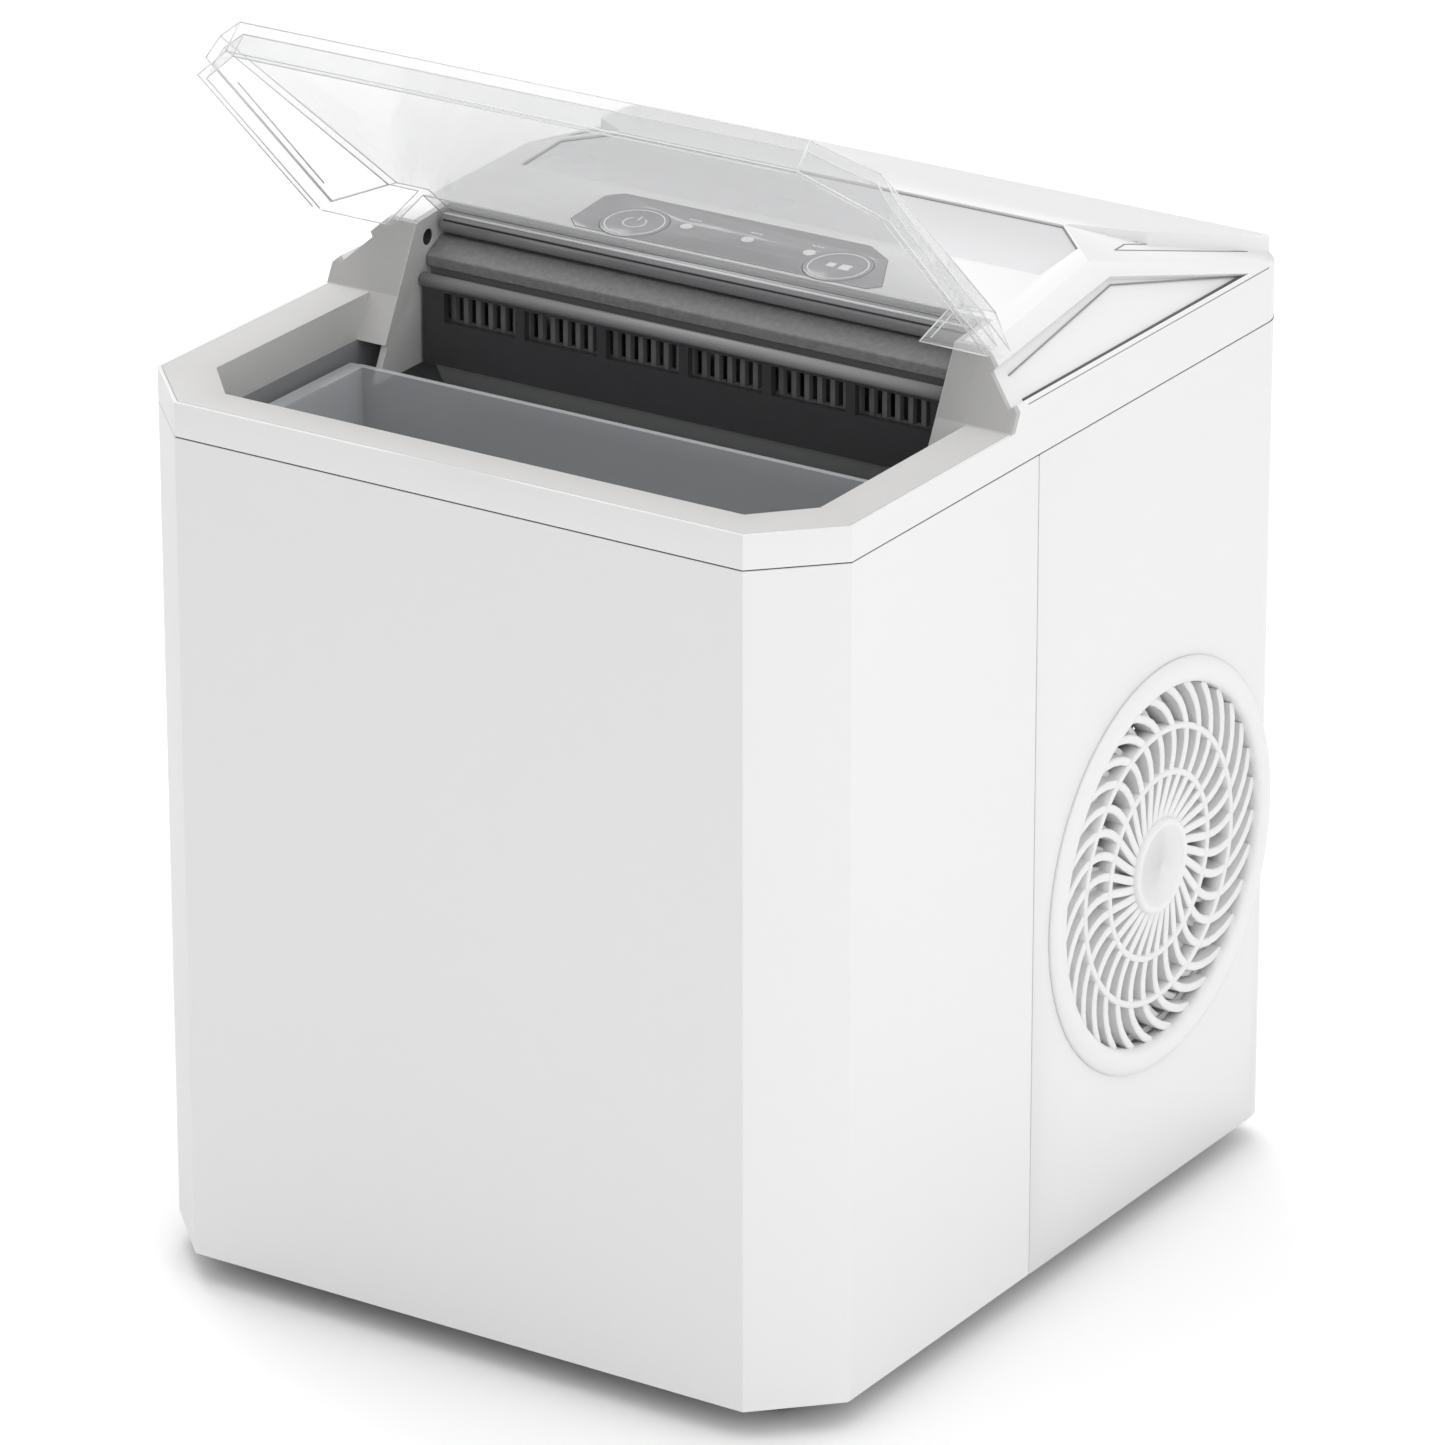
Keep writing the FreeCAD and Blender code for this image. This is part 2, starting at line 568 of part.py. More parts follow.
# ---------------------------------------------------------------- tank, insulation, basket
tank_z = pan_top + tank_foot
tub_hw = throat
tub_y1 = tray_y + tray_r + tray_t + 6.0
tub_z = tray_z - tub_floor
tub_top = tray_z + 6.0
well_out = well_block(-liner_t, bulk_y - 2.0 + liner_t, tank_z, skirt_z)
well_in = well_block(0, bulk_y - 2.0 - liner_t, tank_z + liner_t, skirt_z + 1)
tub_out = box(-tub_hw - liner_t, tub_hw + liner_t, bulk_y - 8, tub_y1 + liner_t, tub_z - liner_t,
              skirt_z - throat_drop)
tub_in = box(-tub_hw, tub_hw, bulk_y - 20, tub_y1, tub_z, far)
tub_rise = box(-tub_hw - liner_t, tub_hw + liner_t, deck_front + 3.0, tub_y1 + liner_t, skirt_z - throat_drop,
               tub_top)
tank = fuse([well_out, tub_out, tub_rise]).cut(well_in).cut(tub_in)
tank = tank.cut(box(-throat_out - 0.05, throat_out + 0.05, well_y + 60, deck_front + 1.0,
                    skirt_z - throat_drop - 0.05, far))
ledge_z = rim_z - basket_drop - 2.0
basket_hw = well_hw - basket_fit
ledge = box(basket_hw + 0.6, well_hw + 0.5, well_y + 20, well_y + 58, ledge_z - 5.0, ledge_z)
tank = fuse([tank, ledge, mirrored(ledge)])
tray_pin = 2.5
tank = tank.cut(cyl(tray_pin + pin_fit, 2 * hw, V(-hw, tray_y, tray_z), X_AXIS))
drain_hose_x = -hw + 32
tank = tank.cut(cyl(4.0, 10, V(drain_hose_x, drain_y, tank_z - 4)))
hose_x = -hw + 13
hose_y = bulk_y + bulk_t + 4.0
hose_top = tub_z + 26
hose_r = 3.0
tank = tank.cut(cyl(hose_r - 1.0, 10, V(-tub_hw - 6, hose_y, hose_top), X_AXIS))
save("water_tank", [tank])

foam_gap = 0.3
foam = well_block(-liner_t - foam_gap - 6.0, bulk_y - 12, tank_z + 2, skirt_z - 4).cut(
    well_block(-liner_t - foam_gap, bulk_y + 40, tank_z, skirt_z))
save("tank_insulation", [foam])

basket_y0 = well_y + basket_fit
basket_y1 = front_y + well_d - (skirt_h + throat_drop) * math.tan(lean) - 1.2
basket_top = rim_z - basket_drop
basket_z = basket_top - basket_h
clip = 12.0


def basket_block(inset, z0, z1):
    """Upright block on the basket's outline, moved inward by inset."""
    return prism(clipped(basket_hw, basket_y0, basket_y1, clip, clip, inset), z0, z1)


basket = basket_block(0, basket_z, basket_top).cut(basket_block(basket_t, basket_z + basket_t, basket_top + 1))
edge = basket_block(-3.0, basket_top - 2.0, basket_top).cut(basket_block(0, basket_top - 3, basket_top + 1))
edge = edge.cut(box(-far, far, basket_y1 - 0.5, far, -far, far))
basket = basket.fuse(edge)
hole_pitch = 13.0
for i in range(-5, 6):
    for j in range(4):
        x = i * hole_pitch
        y = basket_y0 + 16 + j * 16
        basket = basket.cut(box(x - 4, x + 4, y - 2, y + 2, basket_z - 1, basket_z + basket_t + 1))
grip = box(-26, 26, basket_y0 - 1, basket_y0 + basket_t + 1, basket_top - 26, basket_top - 10)
basket = basket.cut(grip)
save("ice_basket", [basket.removeSplitter()])

probe_x = well_hw - 16
probe_y = bulk_y - 4.0
probes = [cyl(1.5, 60, V(probe_x + dx, probe_y - 6, tank_z + liner_t + 12)) for dx in (-6, 6)]
holder = box(probe_x - 10, probe_x + 10, probe_y - 9, bulk_y - 2.0 - liner_t, tank_z + 70, tank_z + 76)
holder = holder.cut(cyl(1.5, 20, V(probe_x - 6, probe_y - 6, tank_z + 64))).cut(
    cyl(1.5, 20, V(probe_x + 6, probe_y - 6, tank_z + 64)))
save("level_probes", probes)
save("probe_holder", [holder])

# ---------------------------------------------------------------- freezing works
cover_top = hinge_z - barrel_r - 0.6
cover_front = hinge_y - 8.7
cover_lip = pusher_z + 3.2
cover_half = throat - 0.3
cover_back = deck_front + 2.5
section = [(cover_back, cover_top), (hinge_y - 1.5, cover_top), (cover_front, cover_top - 3.7), (cover_front, cover_lip),
           (cover_front + cover_t, cover_lip), (cover_front + cover_t, cover_top - cover_t - 2.9),
           (hinge_y - 0.9, cover_top - cover_t), (cover_back, cover_top - cover_t)]
save("evaporator_cover", [bar_x(section, -cover_half, cover_half)])

guard_y = cover_front + 2.3
guard = box(-cover_half, cover_half, guard_y, guard_y + 2.0, skirt_z - 2.0, cover_top - 6.2)
slots = int((2 * cover_half - 8) / guard_pitch)
start = -slots * guard_pitch / 2
for i in range(slots):
    x = start + i * guard_pitch
    guard = guard.cut(box(x, x + guard_pitch - guard_bar, guard_y - 1, guard_y + 3, skirt_z + 2.0, pusher_z - 1.0))
save("slotted_guard", [guard])

pusher_half = throat - 1.0
paddle = box(-pusher_half, pusher_half, pusher_y - 1.1, pusher_y + 1.1, pusher_z - pusher_h, pusher_z)
post = 3.0
for i in range(finger_count):
    x = (i - (finger_count - 1) / 2) * finger_pitch
    paddle = paddle.cut(box(x - (finger_pitch - post) / 2, x + (finger_pitch - post) / 2, pusher_y - 2, pusher_y + 2,
                            pusher_z - window_h - 2.4, pusher_z - 2.4))
rod = cyl(pusher_rod, 2 * (throat + 1.8), V(-throat - 1.8, pusher_y, pusher_z), X_AXIS)
save("ice_pusher", [fuse([paddle, rod])])

bridge_z = tub_top
bridge_t = 2.5
bridge = box(-tub_hw - liner_t, tub_hw + liner_t, tray_y - 15, tray_y + 15, bridge_z, bridge_z + bridge_t)
finger_x = [(i - (finger_count - 1) / 2) * finger_pitch for i in range(finger_count)]
for x in finger_x:
    bridge = bridge.cut(cyl(finger_r + 0.3, 10, V(x, tray_y, bridge_z - 3)))
save("evaporator_bridge", [bridge])

block_half = finger_x[-1] + 9
block = box(-block_half, block_half, tray_y - 7, tray_y + 7, bridge_z + bridge_t, bridge_z + bridge_t + 8)
finger_top = bridge_z + bridge_t
fingers = []
for x in finger_x:
    tip = tray_z - tray_r + finger_clear + finger_r
    fingers.append(cyl(finger_r, finger_top - tip + 1, V(x, tray_y, tip)).fuse(
        Part.makeSphere(finger_r, V(x, tray_y, tip))))
stub_x = block_half
stub_z = finger_top + 4
stub = cyl(pipe_r, 10, V(stub_x, tray_y, stub_z), X_AXIS)
save("evaporator", [fuse([block, stub] + fingers)])

tray_half = tub_hw - 1.2
half_round = cyl(tray_r + tray_t, 2 * tray_half, V(-tray_half, tray_y, tray_z), X_AXIS).cut(
    cyl(tray_r, 2 * tray_half + 2, V(-tray_half - 1, tray_y, tray_z), X_AXIS))
trough = half_round.common(box(-far, far, -far, far, -far, tray_z - 14))
ends = []
for side in (1, -1):
    x = sorted([side * (tray_half - tray_t), side * tray_half])
    disc = cyl(tray_r + 1, tray_t, V(x[0], tray_y, tray_z), X_AXIS).common(box(-far, far, -far, far, -far, tray_z - 14))
    arm = box(x[0], x[1], tray_y - 5, tray_y + 5, tray_z - 15, tray_z)
    hub = cyl(5.0, tray_t, V(x[0], tray_y, tray_z), X_AXIS)
    pin = cyl(tray_pin, liner_t + 2.2 + tray_t, V(side * (tray_half - tray_t), tray_y, tray_z), X_AXIS * side)
    ends.extend([disc, arm, hub, pin])
shaft = cyl(tray_pin, 5.0, V(-tub_hw - liner_t - 4.0, tray_y, tray_z), X_AXIS)
save("water_tray", [fuse([trough, shaft] + ends)])

motor_x = -tub_hw - liner_t
motor = box(motor_x - 16, motor_x - 0.2, tray_y - 9, tray_y + 17, tray_z - 14, tray_z + 10)
motor = motor.cut(cyl(tray_pin + pin_fit, 8, V(motor_x - 6, tray_y, tray_z), X_AXIS))
save("tray_motor", [motor])

# ---------------------------------------------------------------- water lines
pump_x = -hw + 74
pump_y = front_y + 96
pump = fuse([cyl(15, 30, V(pump_x, pump_y, pan_top)), box(pump_x - 18, pump_x + 18, pump_y - 4, pump_y + 4, pan_top, pan_top + 3),
             cyl(hose_r + 0.8, 10, V(pump_x, pump_y + 13, pan_top + 22), Y_AXIS),
             cyl(5.0, tank_z - pan_top - 30, V(pump_x, pump_y, pan_top + 30))])
save("water_pump", [pump])
hose_z = pan_top + 22
hose = tube([(pump_x, pump_y + 23, hose_z), (pump_x, hose_y, hose_z), (hose_x, hose_y, hose_z),
             (hose_x, hose_y, hose_top), (-tub_hw - liner_t, hose_y, hose_top)], hose_r, 5.0)
save("pump_hose", [hose])

socket = ring(socket_r, 4.5, 14, V(-hw, drain_y, drain_z), X_AXIS)
socket_elbow = box(-hw + 14, -hw + 20, drain_y - 6, drain_y + 6, drain_z - 6, drain_z + 6)
save("drain_socket", [fuse([socket, socket_elbow])])
drain_line = tube([(-hw + 20, drain_y, drain_z), (drain_hose_x, drain_y, drain_z), (drain_hose_x, drain_y, tank_z)], 4.0, 7.0)
save("drain_hose", [drain_line])
drain_plug = cyl(4.5 - 0.08, 10, V(-hw, drain_y, drain_z), X_AXIS).fuse(
    cyl(socket_r - 0.5, grille_out - 0.4, V(-hw - grille_out + 0.4, drain_y, drain_z), X_AXIS))
save("drain_plug", [drain_plug])

# ---------------------------------------------------------------- bulkhead and power board
bulk_top = tub_z - liner_t - 0.2
bulkhead = box(-hw + shell_t + 3.5, hw - shell_t - 3.5, bulk_y, bulk_y + bulk_t, pan_top, bulk_top)
bulkhead = bulkhead.cut(cyl(hose_r + 0.5, 20, V(pump_x, bulk_y - 5, hose_z), Y_AXIS))
save("bulkhead", [bulkhead])
pb_x0 = -44.0
pb_x1 = 34.0
pb_z0 = pan_top + 42
pb_z1 = pb_z0 + 74
standoff = 4.0
board_y = bulk_y + bulk_t + standoff
save("board_standoffs", [cyl(2.5, standoff, V(x, bulk_y + bulk_t, z), Y_AXIS)
                         for x in (pb_x0 + 5, pb_x1 - 5) for z in (pb_z0 + 5, pb_z1 - 5)])
power_board = fuse([box(pb_x0, pb_x1, board_y, board_y + board_t, pb_z0, pb_z1),
                    box(6, 28, board_y + board_t, board_y + board_t + 16, pb_z0 + 12, pb_z0 + 36),
                    box(8, 24, board_y + board_t, board_y + board_t + 12, pb_z0 + 46, pb_z0 + 62),
                    box(-40, -22, board_y + board_t, board_y + board_t + 3, pb_z0 + 14, pb_z0 + 24)])
save("power_board", [power_board])

# ---------------------------------------------------------------- compressor
comp_y = back_y - comp_back
comp_z = pan_top + comp_lift
can = cyl(comp_r, comp_h - 20, V(comp_x, comp_y, comp_z + 10))
can = can.fuse(Part.makeCone(comp_r - 8, comp_r, 10, V(comp_x, comp_y, comp_z)))
can = can.fuse(Part.makeCone(comp_r, comp_r - 12, 10, V(comp_x, comp_y, comp_z + comp_h - 10)))
leg = 40.0
grommet_r = 8.0
comp_spots = [(comp_x + sx * leg, comp_y + sy * leg) for sx in (-1, 1) for sy in (-1, 1)]
plate = box(comp_x - leg - 9, comp_x + leg + 9, comp_y - leg - 9, comp_y + leg + 9, comp_z - 2.5, comp_z)
for x, y in comp_spots:
    plate = plate.cut(cyl(2.6, 10, V(x, y, comp_z - 5)))
save("compressor", [fuse([can, plate])])
grommets = [ring(grommet_r, 2.6, comp_lift - 2.5, V(x, y, pan_top)) for x, y in comp_spots]
save("compressor_grommets", grommets)
save("compressor_bolts", [fuse([cyl(2.5, comp_lift, V(x, y, pan_top)), cyl(4.5, 2.5, V(x, y, comp_z))])
                          for x, y in comp_spots])

# ---------------------------------------------------------------- condenser, fan and grille
cond_x0 = hw - 62
cond_x1 = hw - 38
cond_y0 = fan_y - 47.5
cond_y1 = fan_y + 47.5
cond_z0 = fan_z - 52
cond_z1 = fan_z + 52
fins = 20
fin_parts = []
for i in range(fins):
    y = cond_y0 + 3 + i * (cond_y1 - cond_y0 - 7) / (fins - 1)
    fin_parts.append(box(cond_x0, cond_x1, y, y + 0.8, cond_z0, cond_z1))
for y in (cond_y0, cond_y1 - 1.6):
    fin_parts.append(box(cond_x0 - 1, cond_x1 + 1, y, y + 1.6, pan_top, cond_z1 + 2))
tube_z = [cond_z0 + 10 + i * 12 for i in range(8)]
for z in tube_z:
    fin_parts.append(cyl(pipe_r, cond_y1 - cond_y0 + 6, V((cond_x0 + cond_x1) / 2, cond_y0 - 3, z), Y_AXIS))
save("condenser", [fuse(fin_parts)])

shroud_x = hw - 34
shroud_t = 2.0
duct_out = hw - shell_t - 1.2
shroud = box(shroud_x, shroud_x + shroud_t, fan_y - fan_r - 5.3, fan_y + fan_r + 5.3, pan_top, fan_z + fan_r + 7)
shroud = shroud.fuse(ring(fan_r + 5.0, fan_r + 3.0, duct_out - shroud_x, V(shroud_x, fan_y, fan_z), X_AXIS))
shroud = shroud.cut(cyl(fan_r + 3.0, 20, V(shroud_x - 5, fan_y, fan_z), X_AXIS))
spider = ring(15.5, 13.2, 4, V(shroud_x, fan_y, fan_z), X_AXIS)
arms = []
for angle in (90, 210, 330):
    arm = box(shroud_x, shroud_x + 3, fan_y + 14, fan_y + fan_r + 4, fan_z - 2.5, fan_z + 2.5)
    arms.append(arm.rotated(V(0, fan_y, fan_z), X_AXIS, angle))
shroud = fuse([shroud, spider] + arms)
save("fan_shroud", [shroud])
motor_r = 13.0
shaft_r = 1.5
motor_len = 12.0
fan_motor = cyl(motor_r, motor_len, V(shroud_x, fan_y, fan_z), X_AXIS)
fan_motor = fan_motor.cut(cyl(shaft_r + pin_fit, 30, V(shroud_x + 4, fan_y, fan_z), X_AXIS))
save("fan_motor", [fan_motor])
hub_x = shroud_x + motor_len + 0.6
hub_len = 10.0
save("fan_shaft", [cyl(shaft_r, hub_x + 8 - shroud_x - 4.5, V(shroud_x + 4.5, fan_y, fan_z), X_AXIS)])
hub = cyl(fan_hub_r, hub_len, V(hub_x, fan_y, fan_z), X_AXIS).cut(
    cyl(shaft_r, 8, V(hub_x, fan_y, fan_z), X_AXIS))
blades = []
for i in range(7):
    blade = box(hub_x + 4, hub_x + 5.8, fan_y - 8, fan_y + 8, fan_z + fan_hub_r - 2, fan_z + fan_r)
    blade = blade.rotated(V(hub_x + 4.9, fan_y, fan_z), Z_AXIS, 28)
    blades.append(blade.rotated(V(hub_x, fan_y, fan_z), X_AXIS, i * 360 / 7))
save("fan_blade", [fuse([hub] + blades)])

rim_out = grille_r + grille_rim
grille_centre = V(hw, fan_y, fan_z)
grille = ring(rim_out, grille_r, 1.0, grille_centre, X_AXIS)
grille = grille.fuse(Part.makeCone(rim_out, rim_out - 3.0, grille_out - 1.0, V(hw + 1.0, fan_y, fan_z), X_AXIS).cut(
    cyl(grille_r, 5, V(hw, fan_y, fan_z), X_AXIS)))
grille = grille.fuse(ring(grille_r + 0.7, grille_r - 1.6, grille_out + shell_t, V(hw - shell_t, fan_y, fan_z), X_AXIS))
rib_x = hw - 0.6
grille_parts = [grille, cyl(13.5, 2.4, V(rib_x, fan_y, fan_z), X_AXIS)]
for r in (26.5, 39.5):
    grille_parts.append(ring(r + 0.9, r - 0.9, 1.6, V(rib_x, fan_y, fan_z), X_AXIS))
ribs = 36
for i in range(ribs):
    mid = V(rib_x, fan_y + 31, fan_z)
    rib = box(rib_x, rib_x + 1.4, fan_y + 10, fan_y + grille_r, fan_z - 0.7, fan_z + 0.7)
    rib = rib.rotated(mid, X_AXIS, 14)
    grille_parts.append(rib.rotated(grille_centre, X_AXIS, i * 360 / ribs))
grille = fuse(grille_parts).common(cyl(rim_out + 1, 30, V(hw - 15, fan_y, fan_z), X_AXIS))
save("side_grille", [grille])

vent = box(-hw - grille_out, -hw, vent_y0, vent_y1, vent_z0, vent_z1).fuse(
    box(-hw, -hw + shell_t, vent_y0 + 4.2, vent_y1 - 4.2, vent_z0 + 4.2, vent_z1 - 4.2))
for i in range(9):
    z = vent_z0 + 9 + i * 8.4
    vent = vent.cut(box(-hw - 5, -hw + 5, vent_y0 + 8, vent_y1 - 8, z, z + 4.2))
save("left_vent", [vent])

# ---------------------------------------------------------------- refrigerant lines
drier_x = 18.0
drier_y = back_y - 26.0
drier_z = pan_top + 84
drier = fuse([cyl(8, 60, V(drier_x, drier_y, drier_z)), cyl(pipe_r, 8, V(drier_x, drier_y, drier_z - 8)),
              cyl(1.6, 8, V(drier_x, drier_y, drier_z + 60))])
save("filter_drier", [drier])
cond_mid = (cond_x0 + cond_x1) / 2
cond_end = cond_y1 + 3
comp_out = comp_z + comp_h
discharge = tube([(comp_x + 20, comp_y + 10, comp_out), (comp_x + 20, comp_y + 10, comp_out + 14),
                  (comp_x + 20, cond_end + 5, comp_out + 14), (cond_mid, cond_end + 5, comp_out + 14),
                  (cond_mid, cond_end + 5, tube_z[-1]), (cond_mid, cond_end, tube_z[-1])], pipe_r - 0.8, 3.0)
save("discharge_pipe", [discharge])
liquid = tube([(cond_mid, cond_end, tube_z[0]), (cond_mid, cond_end + 6, tube_z[0]),
               (drier_x, cond_end + 6, tube_z[0]), (drier_x, drier_y, tube_z[0]), (drier_x, drier_y, drier_z - 8)],
              pipe_r - 0.8, 3.0)
save("liquid_pipe", [liquid])
suction_x = throat_out + 6.0
suction_z = fan_z + fan_r + 14.0
suction = tube([(stub_x + 10, tray_y, stub_z), (suction_x, tray_y, stub_z), (suction_x, tub_y1 + 9, stub_z),
                (suction_x, tub_y1 + 9, suction_z), (comp_x, tub_y1 + 9, suction_z),
                (comp_x, comp_y - 16, suction_z), (comp_x, comp_y - 16, comp_out)], pipe_r - 0.6, 3.4)
save("suction_pipe", [suction])
capillary = tube([(drier_x, drier_y, drier_z + 68), (drier_x, drier_y, stub_z), (-suction_x, drier_y, stub_z),
                  (-suction_x, tray_y, stub_z), (-block_half, tray_y, stub_z)], 1.2, 12.0)
save("capillary_pipe", [capillary])
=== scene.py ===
import json
import math

import bmesh
import bpy
import numpy as np
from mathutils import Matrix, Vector


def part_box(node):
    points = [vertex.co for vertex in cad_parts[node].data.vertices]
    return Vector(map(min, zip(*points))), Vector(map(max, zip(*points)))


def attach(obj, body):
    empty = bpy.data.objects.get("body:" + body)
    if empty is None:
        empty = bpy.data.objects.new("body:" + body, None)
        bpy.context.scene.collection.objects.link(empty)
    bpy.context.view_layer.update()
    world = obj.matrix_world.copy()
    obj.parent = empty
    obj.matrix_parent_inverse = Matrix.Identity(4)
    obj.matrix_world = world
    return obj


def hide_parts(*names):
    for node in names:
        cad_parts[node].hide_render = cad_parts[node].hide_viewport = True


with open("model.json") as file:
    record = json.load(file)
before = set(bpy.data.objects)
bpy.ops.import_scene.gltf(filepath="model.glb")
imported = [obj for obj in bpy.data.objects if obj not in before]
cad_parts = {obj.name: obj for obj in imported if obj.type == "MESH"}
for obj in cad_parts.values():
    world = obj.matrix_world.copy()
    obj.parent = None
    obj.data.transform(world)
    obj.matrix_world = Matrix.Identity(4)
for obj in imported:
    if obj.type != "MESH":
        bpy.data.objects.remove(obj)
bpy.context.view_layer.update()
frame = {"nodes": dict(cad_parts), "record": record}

scene = bpy.context.scene


# ------------------------------------------------------------------ finishes
def new_finish(name, slot, colour, roughness, grain=0.0, grain_scale=900.0, mottle=0.02, mottle_scale=9.0,
               metal=0.0, coat=0.0, coat_roughness=0.1, specular=0.5, brushed=None):
    """Moulded or metal surface: base colour with a slow drift of tone, roughness that drifts with it,
    and a fine grain carried by a bump of a high-frequency noise."""
    mat = bpy.data.materials.new(name)
    mat.use_nodes = True
    nodes, links = mat.node_tree.nodes, mat.node_tree.links
    surface = nodes["Principled BSDF"]
    where = nodes.new("ShaderNodeTexCoord")
    slow = nodes.new("ShaderNodeTexNoise")
    slow.inputs["Scale"].default_value = mottle_scale
    slow.inputs["Detail"].default_value = 3.0
    links.new(where.outputs["Object"], slow.inputs["Vector"])
    tone = nodes.new("ShaderNodeMix")
    tone.data_type = "RGBA"
    low = [c * (1.0 - mottle) for c in colour]
    high = [min(c * (1.0 + mottle), 1.0) for c in colour]
    tone.inputs["A"].default_value = (*low, 1.0)
    tone.inputs["B"].default_value = (*high, 1.0)
    links.new(slow.outputs["Fac"], tone.inputs["Factor"])
    links.new(tone.outputs["Result"], surface.inputs["Base Color"])
    rough = nodes.new("ShaderNodeMapRange")
    rough.inputs["From Min"].default_value = 0.3
    rough.inputs["From Max"].default_value = 0.7
    rough.inputs["To Min"].default_value = max(roughness - 0.04, 0.02)
    rough.inputs["To Max"].default_value = min(roughness + 0.04, 1.0)
    links.new(slow.outputs["Fac"], rough.inputs["Value"])
    links.new(rough.outputs["Result"], surface.inputs["Roughness"])
    surface.inputs["Metallic"].default_value = metal
    surface.inputs["Specular IOR Level"].default_value = specular
    surface.inputs["Coat Weight"].default_value = coat
    surface.inputs["Coat Roughness"].default_value = coat_roughness
    if grain > 0.0:
        fine = nodes.new("ShaderNodeTexNoise")
        fine.inputs["Scale"].default_value = grain_scale
        fine.inputs["Detail"].default_value = 2.0
        if brushed is None:
            links.new(where.outputs["Object"], fine.inputs["Vector"])
        else:
            stretch = nodes.new("ShaderNodeMapping")
            stretch.inputs["Scale"].default_value = brushed
            links.new(where.outputs["Object"], stretch.inputs["Vector"])
            links.new(stretch.outputs["Vector"], fine.inputs["Vector"])
        bump = nodes.new("ShaderNodeBump")
        bump.inputs["Strength"].default_value = grain
        bump.inputs["Distance"].default_value = 0.0002
        links.new(fine.outputs["Fac"], bump.inputs["Height"])
        links.new(bump.outputs["Normal"], surface.inputs["Normal"])
    mat["slot"] = slot
    return mat


def clear_finish(name, slot, tint, facing, grazing, power, roughness=0.04):
    """Clear moulded plastic: almost nothing shows face on, and more of the pale tint shows where the
    surface turns away, as it does along edges and ridges."""
    mat = bpy.data.materials.new(name)
    mat.use_nodes = True
    nodes, links = mat.node_tree.nodes, mat.node_tree.links
    surface = nodes["Principled BSDF"]
    surface.inputs["Base Color"].default_value = (*tint, 1.0)
    surface.inputs["IOR"].default_value = 1.49
    turn = nodes.new("ShaderNodeLayerWeight")
    turn.inputs["Blend"].default_value = 0.5
    curve = nodes.new("ShaderNodeMath")
    curve.operation = "POWER"
    curve.inputs[1].default_value = power
    links.new(turn.outputs["Facing"], curve.inputs[0])
    spread = nodes.new("ShaderNodeMapRange")
    spread.inputs["To Min"].default_value = facing
    spread.inputs["To Max"].default_value = grazing
    links.new(curve.outputs["Value"], spread.inputs["Value"])
    links.new(spread.outputs["Result"], surface.inputs["Alpha"])
    where = nodes.new("ShaderNodeTexCoord")
    haze = nodes.new("ShaderNodeTexNoise")
    haze.inputs["Scale"].default_value = 14.0
    links.new(where.outputs["Object"], haze.inputs["Vector"])
    rough = nodes.new("ShaderNodeMapRange")
    rough.inputs["To Min"].default_value = roughness
    rough.inputs["To Max"].default_value = roughness + 0.06
    links.new(haze.outputs["Fac"], rough.inputs["Value"])
    links.new(rough.outputs["Result"], surface.inputs["Roughness"])
    mat["slot"] = slot
    return mat


white_shell = new_finish("white_moulding", "shell_white", (0.73, 0.73, 0.735), 0.38,
                         grain=0.10, grain_scale=1500.0, mottle=0.008)
white_grille = new_finish("white_grille_moulding", "grille_white", (0.74, 0.74, 0.74), 0.42,
                          grain=0.12, grain_scale=1400.0, mottle=0.01)
deck_light = new_finish("deck_inlay", "panel_light", (0.63, 0.63, 0.64), 0.30,
                        grain=0.08, grain_scale=1500.0, mottle=0.008)
panel_gloss = new_finish("control_film", "panel_grey", (0.33, 0.33, 0.34), 0.16,
                         mottle=0.01, coat=0.6, coat_roughness=0.05)
button_gloss = new_finish("button_film", "button_grey", (0.33, 0.33, 0.34), 0.18,
                          mottle=0.01, coat=0.6, coat_roughness=0.06)
mark_pale = new_finish("printed_marks", "button_grey", (0.86, 0.86, 0.87), 0.35, mottle=0.01)
lens_white = new_finish("lamp_lens", "lens_white", (0.86, 0.86, 0.85), 0.20, mottle=0.01)
frame_grey = new_finish("frame_moulding", "frame_grey", (0.53, 0.525, 0.518), 0.50,
                        grain=0.35, grain_scale=1300.0, mottle=0.035, mottle_scale=620.0)


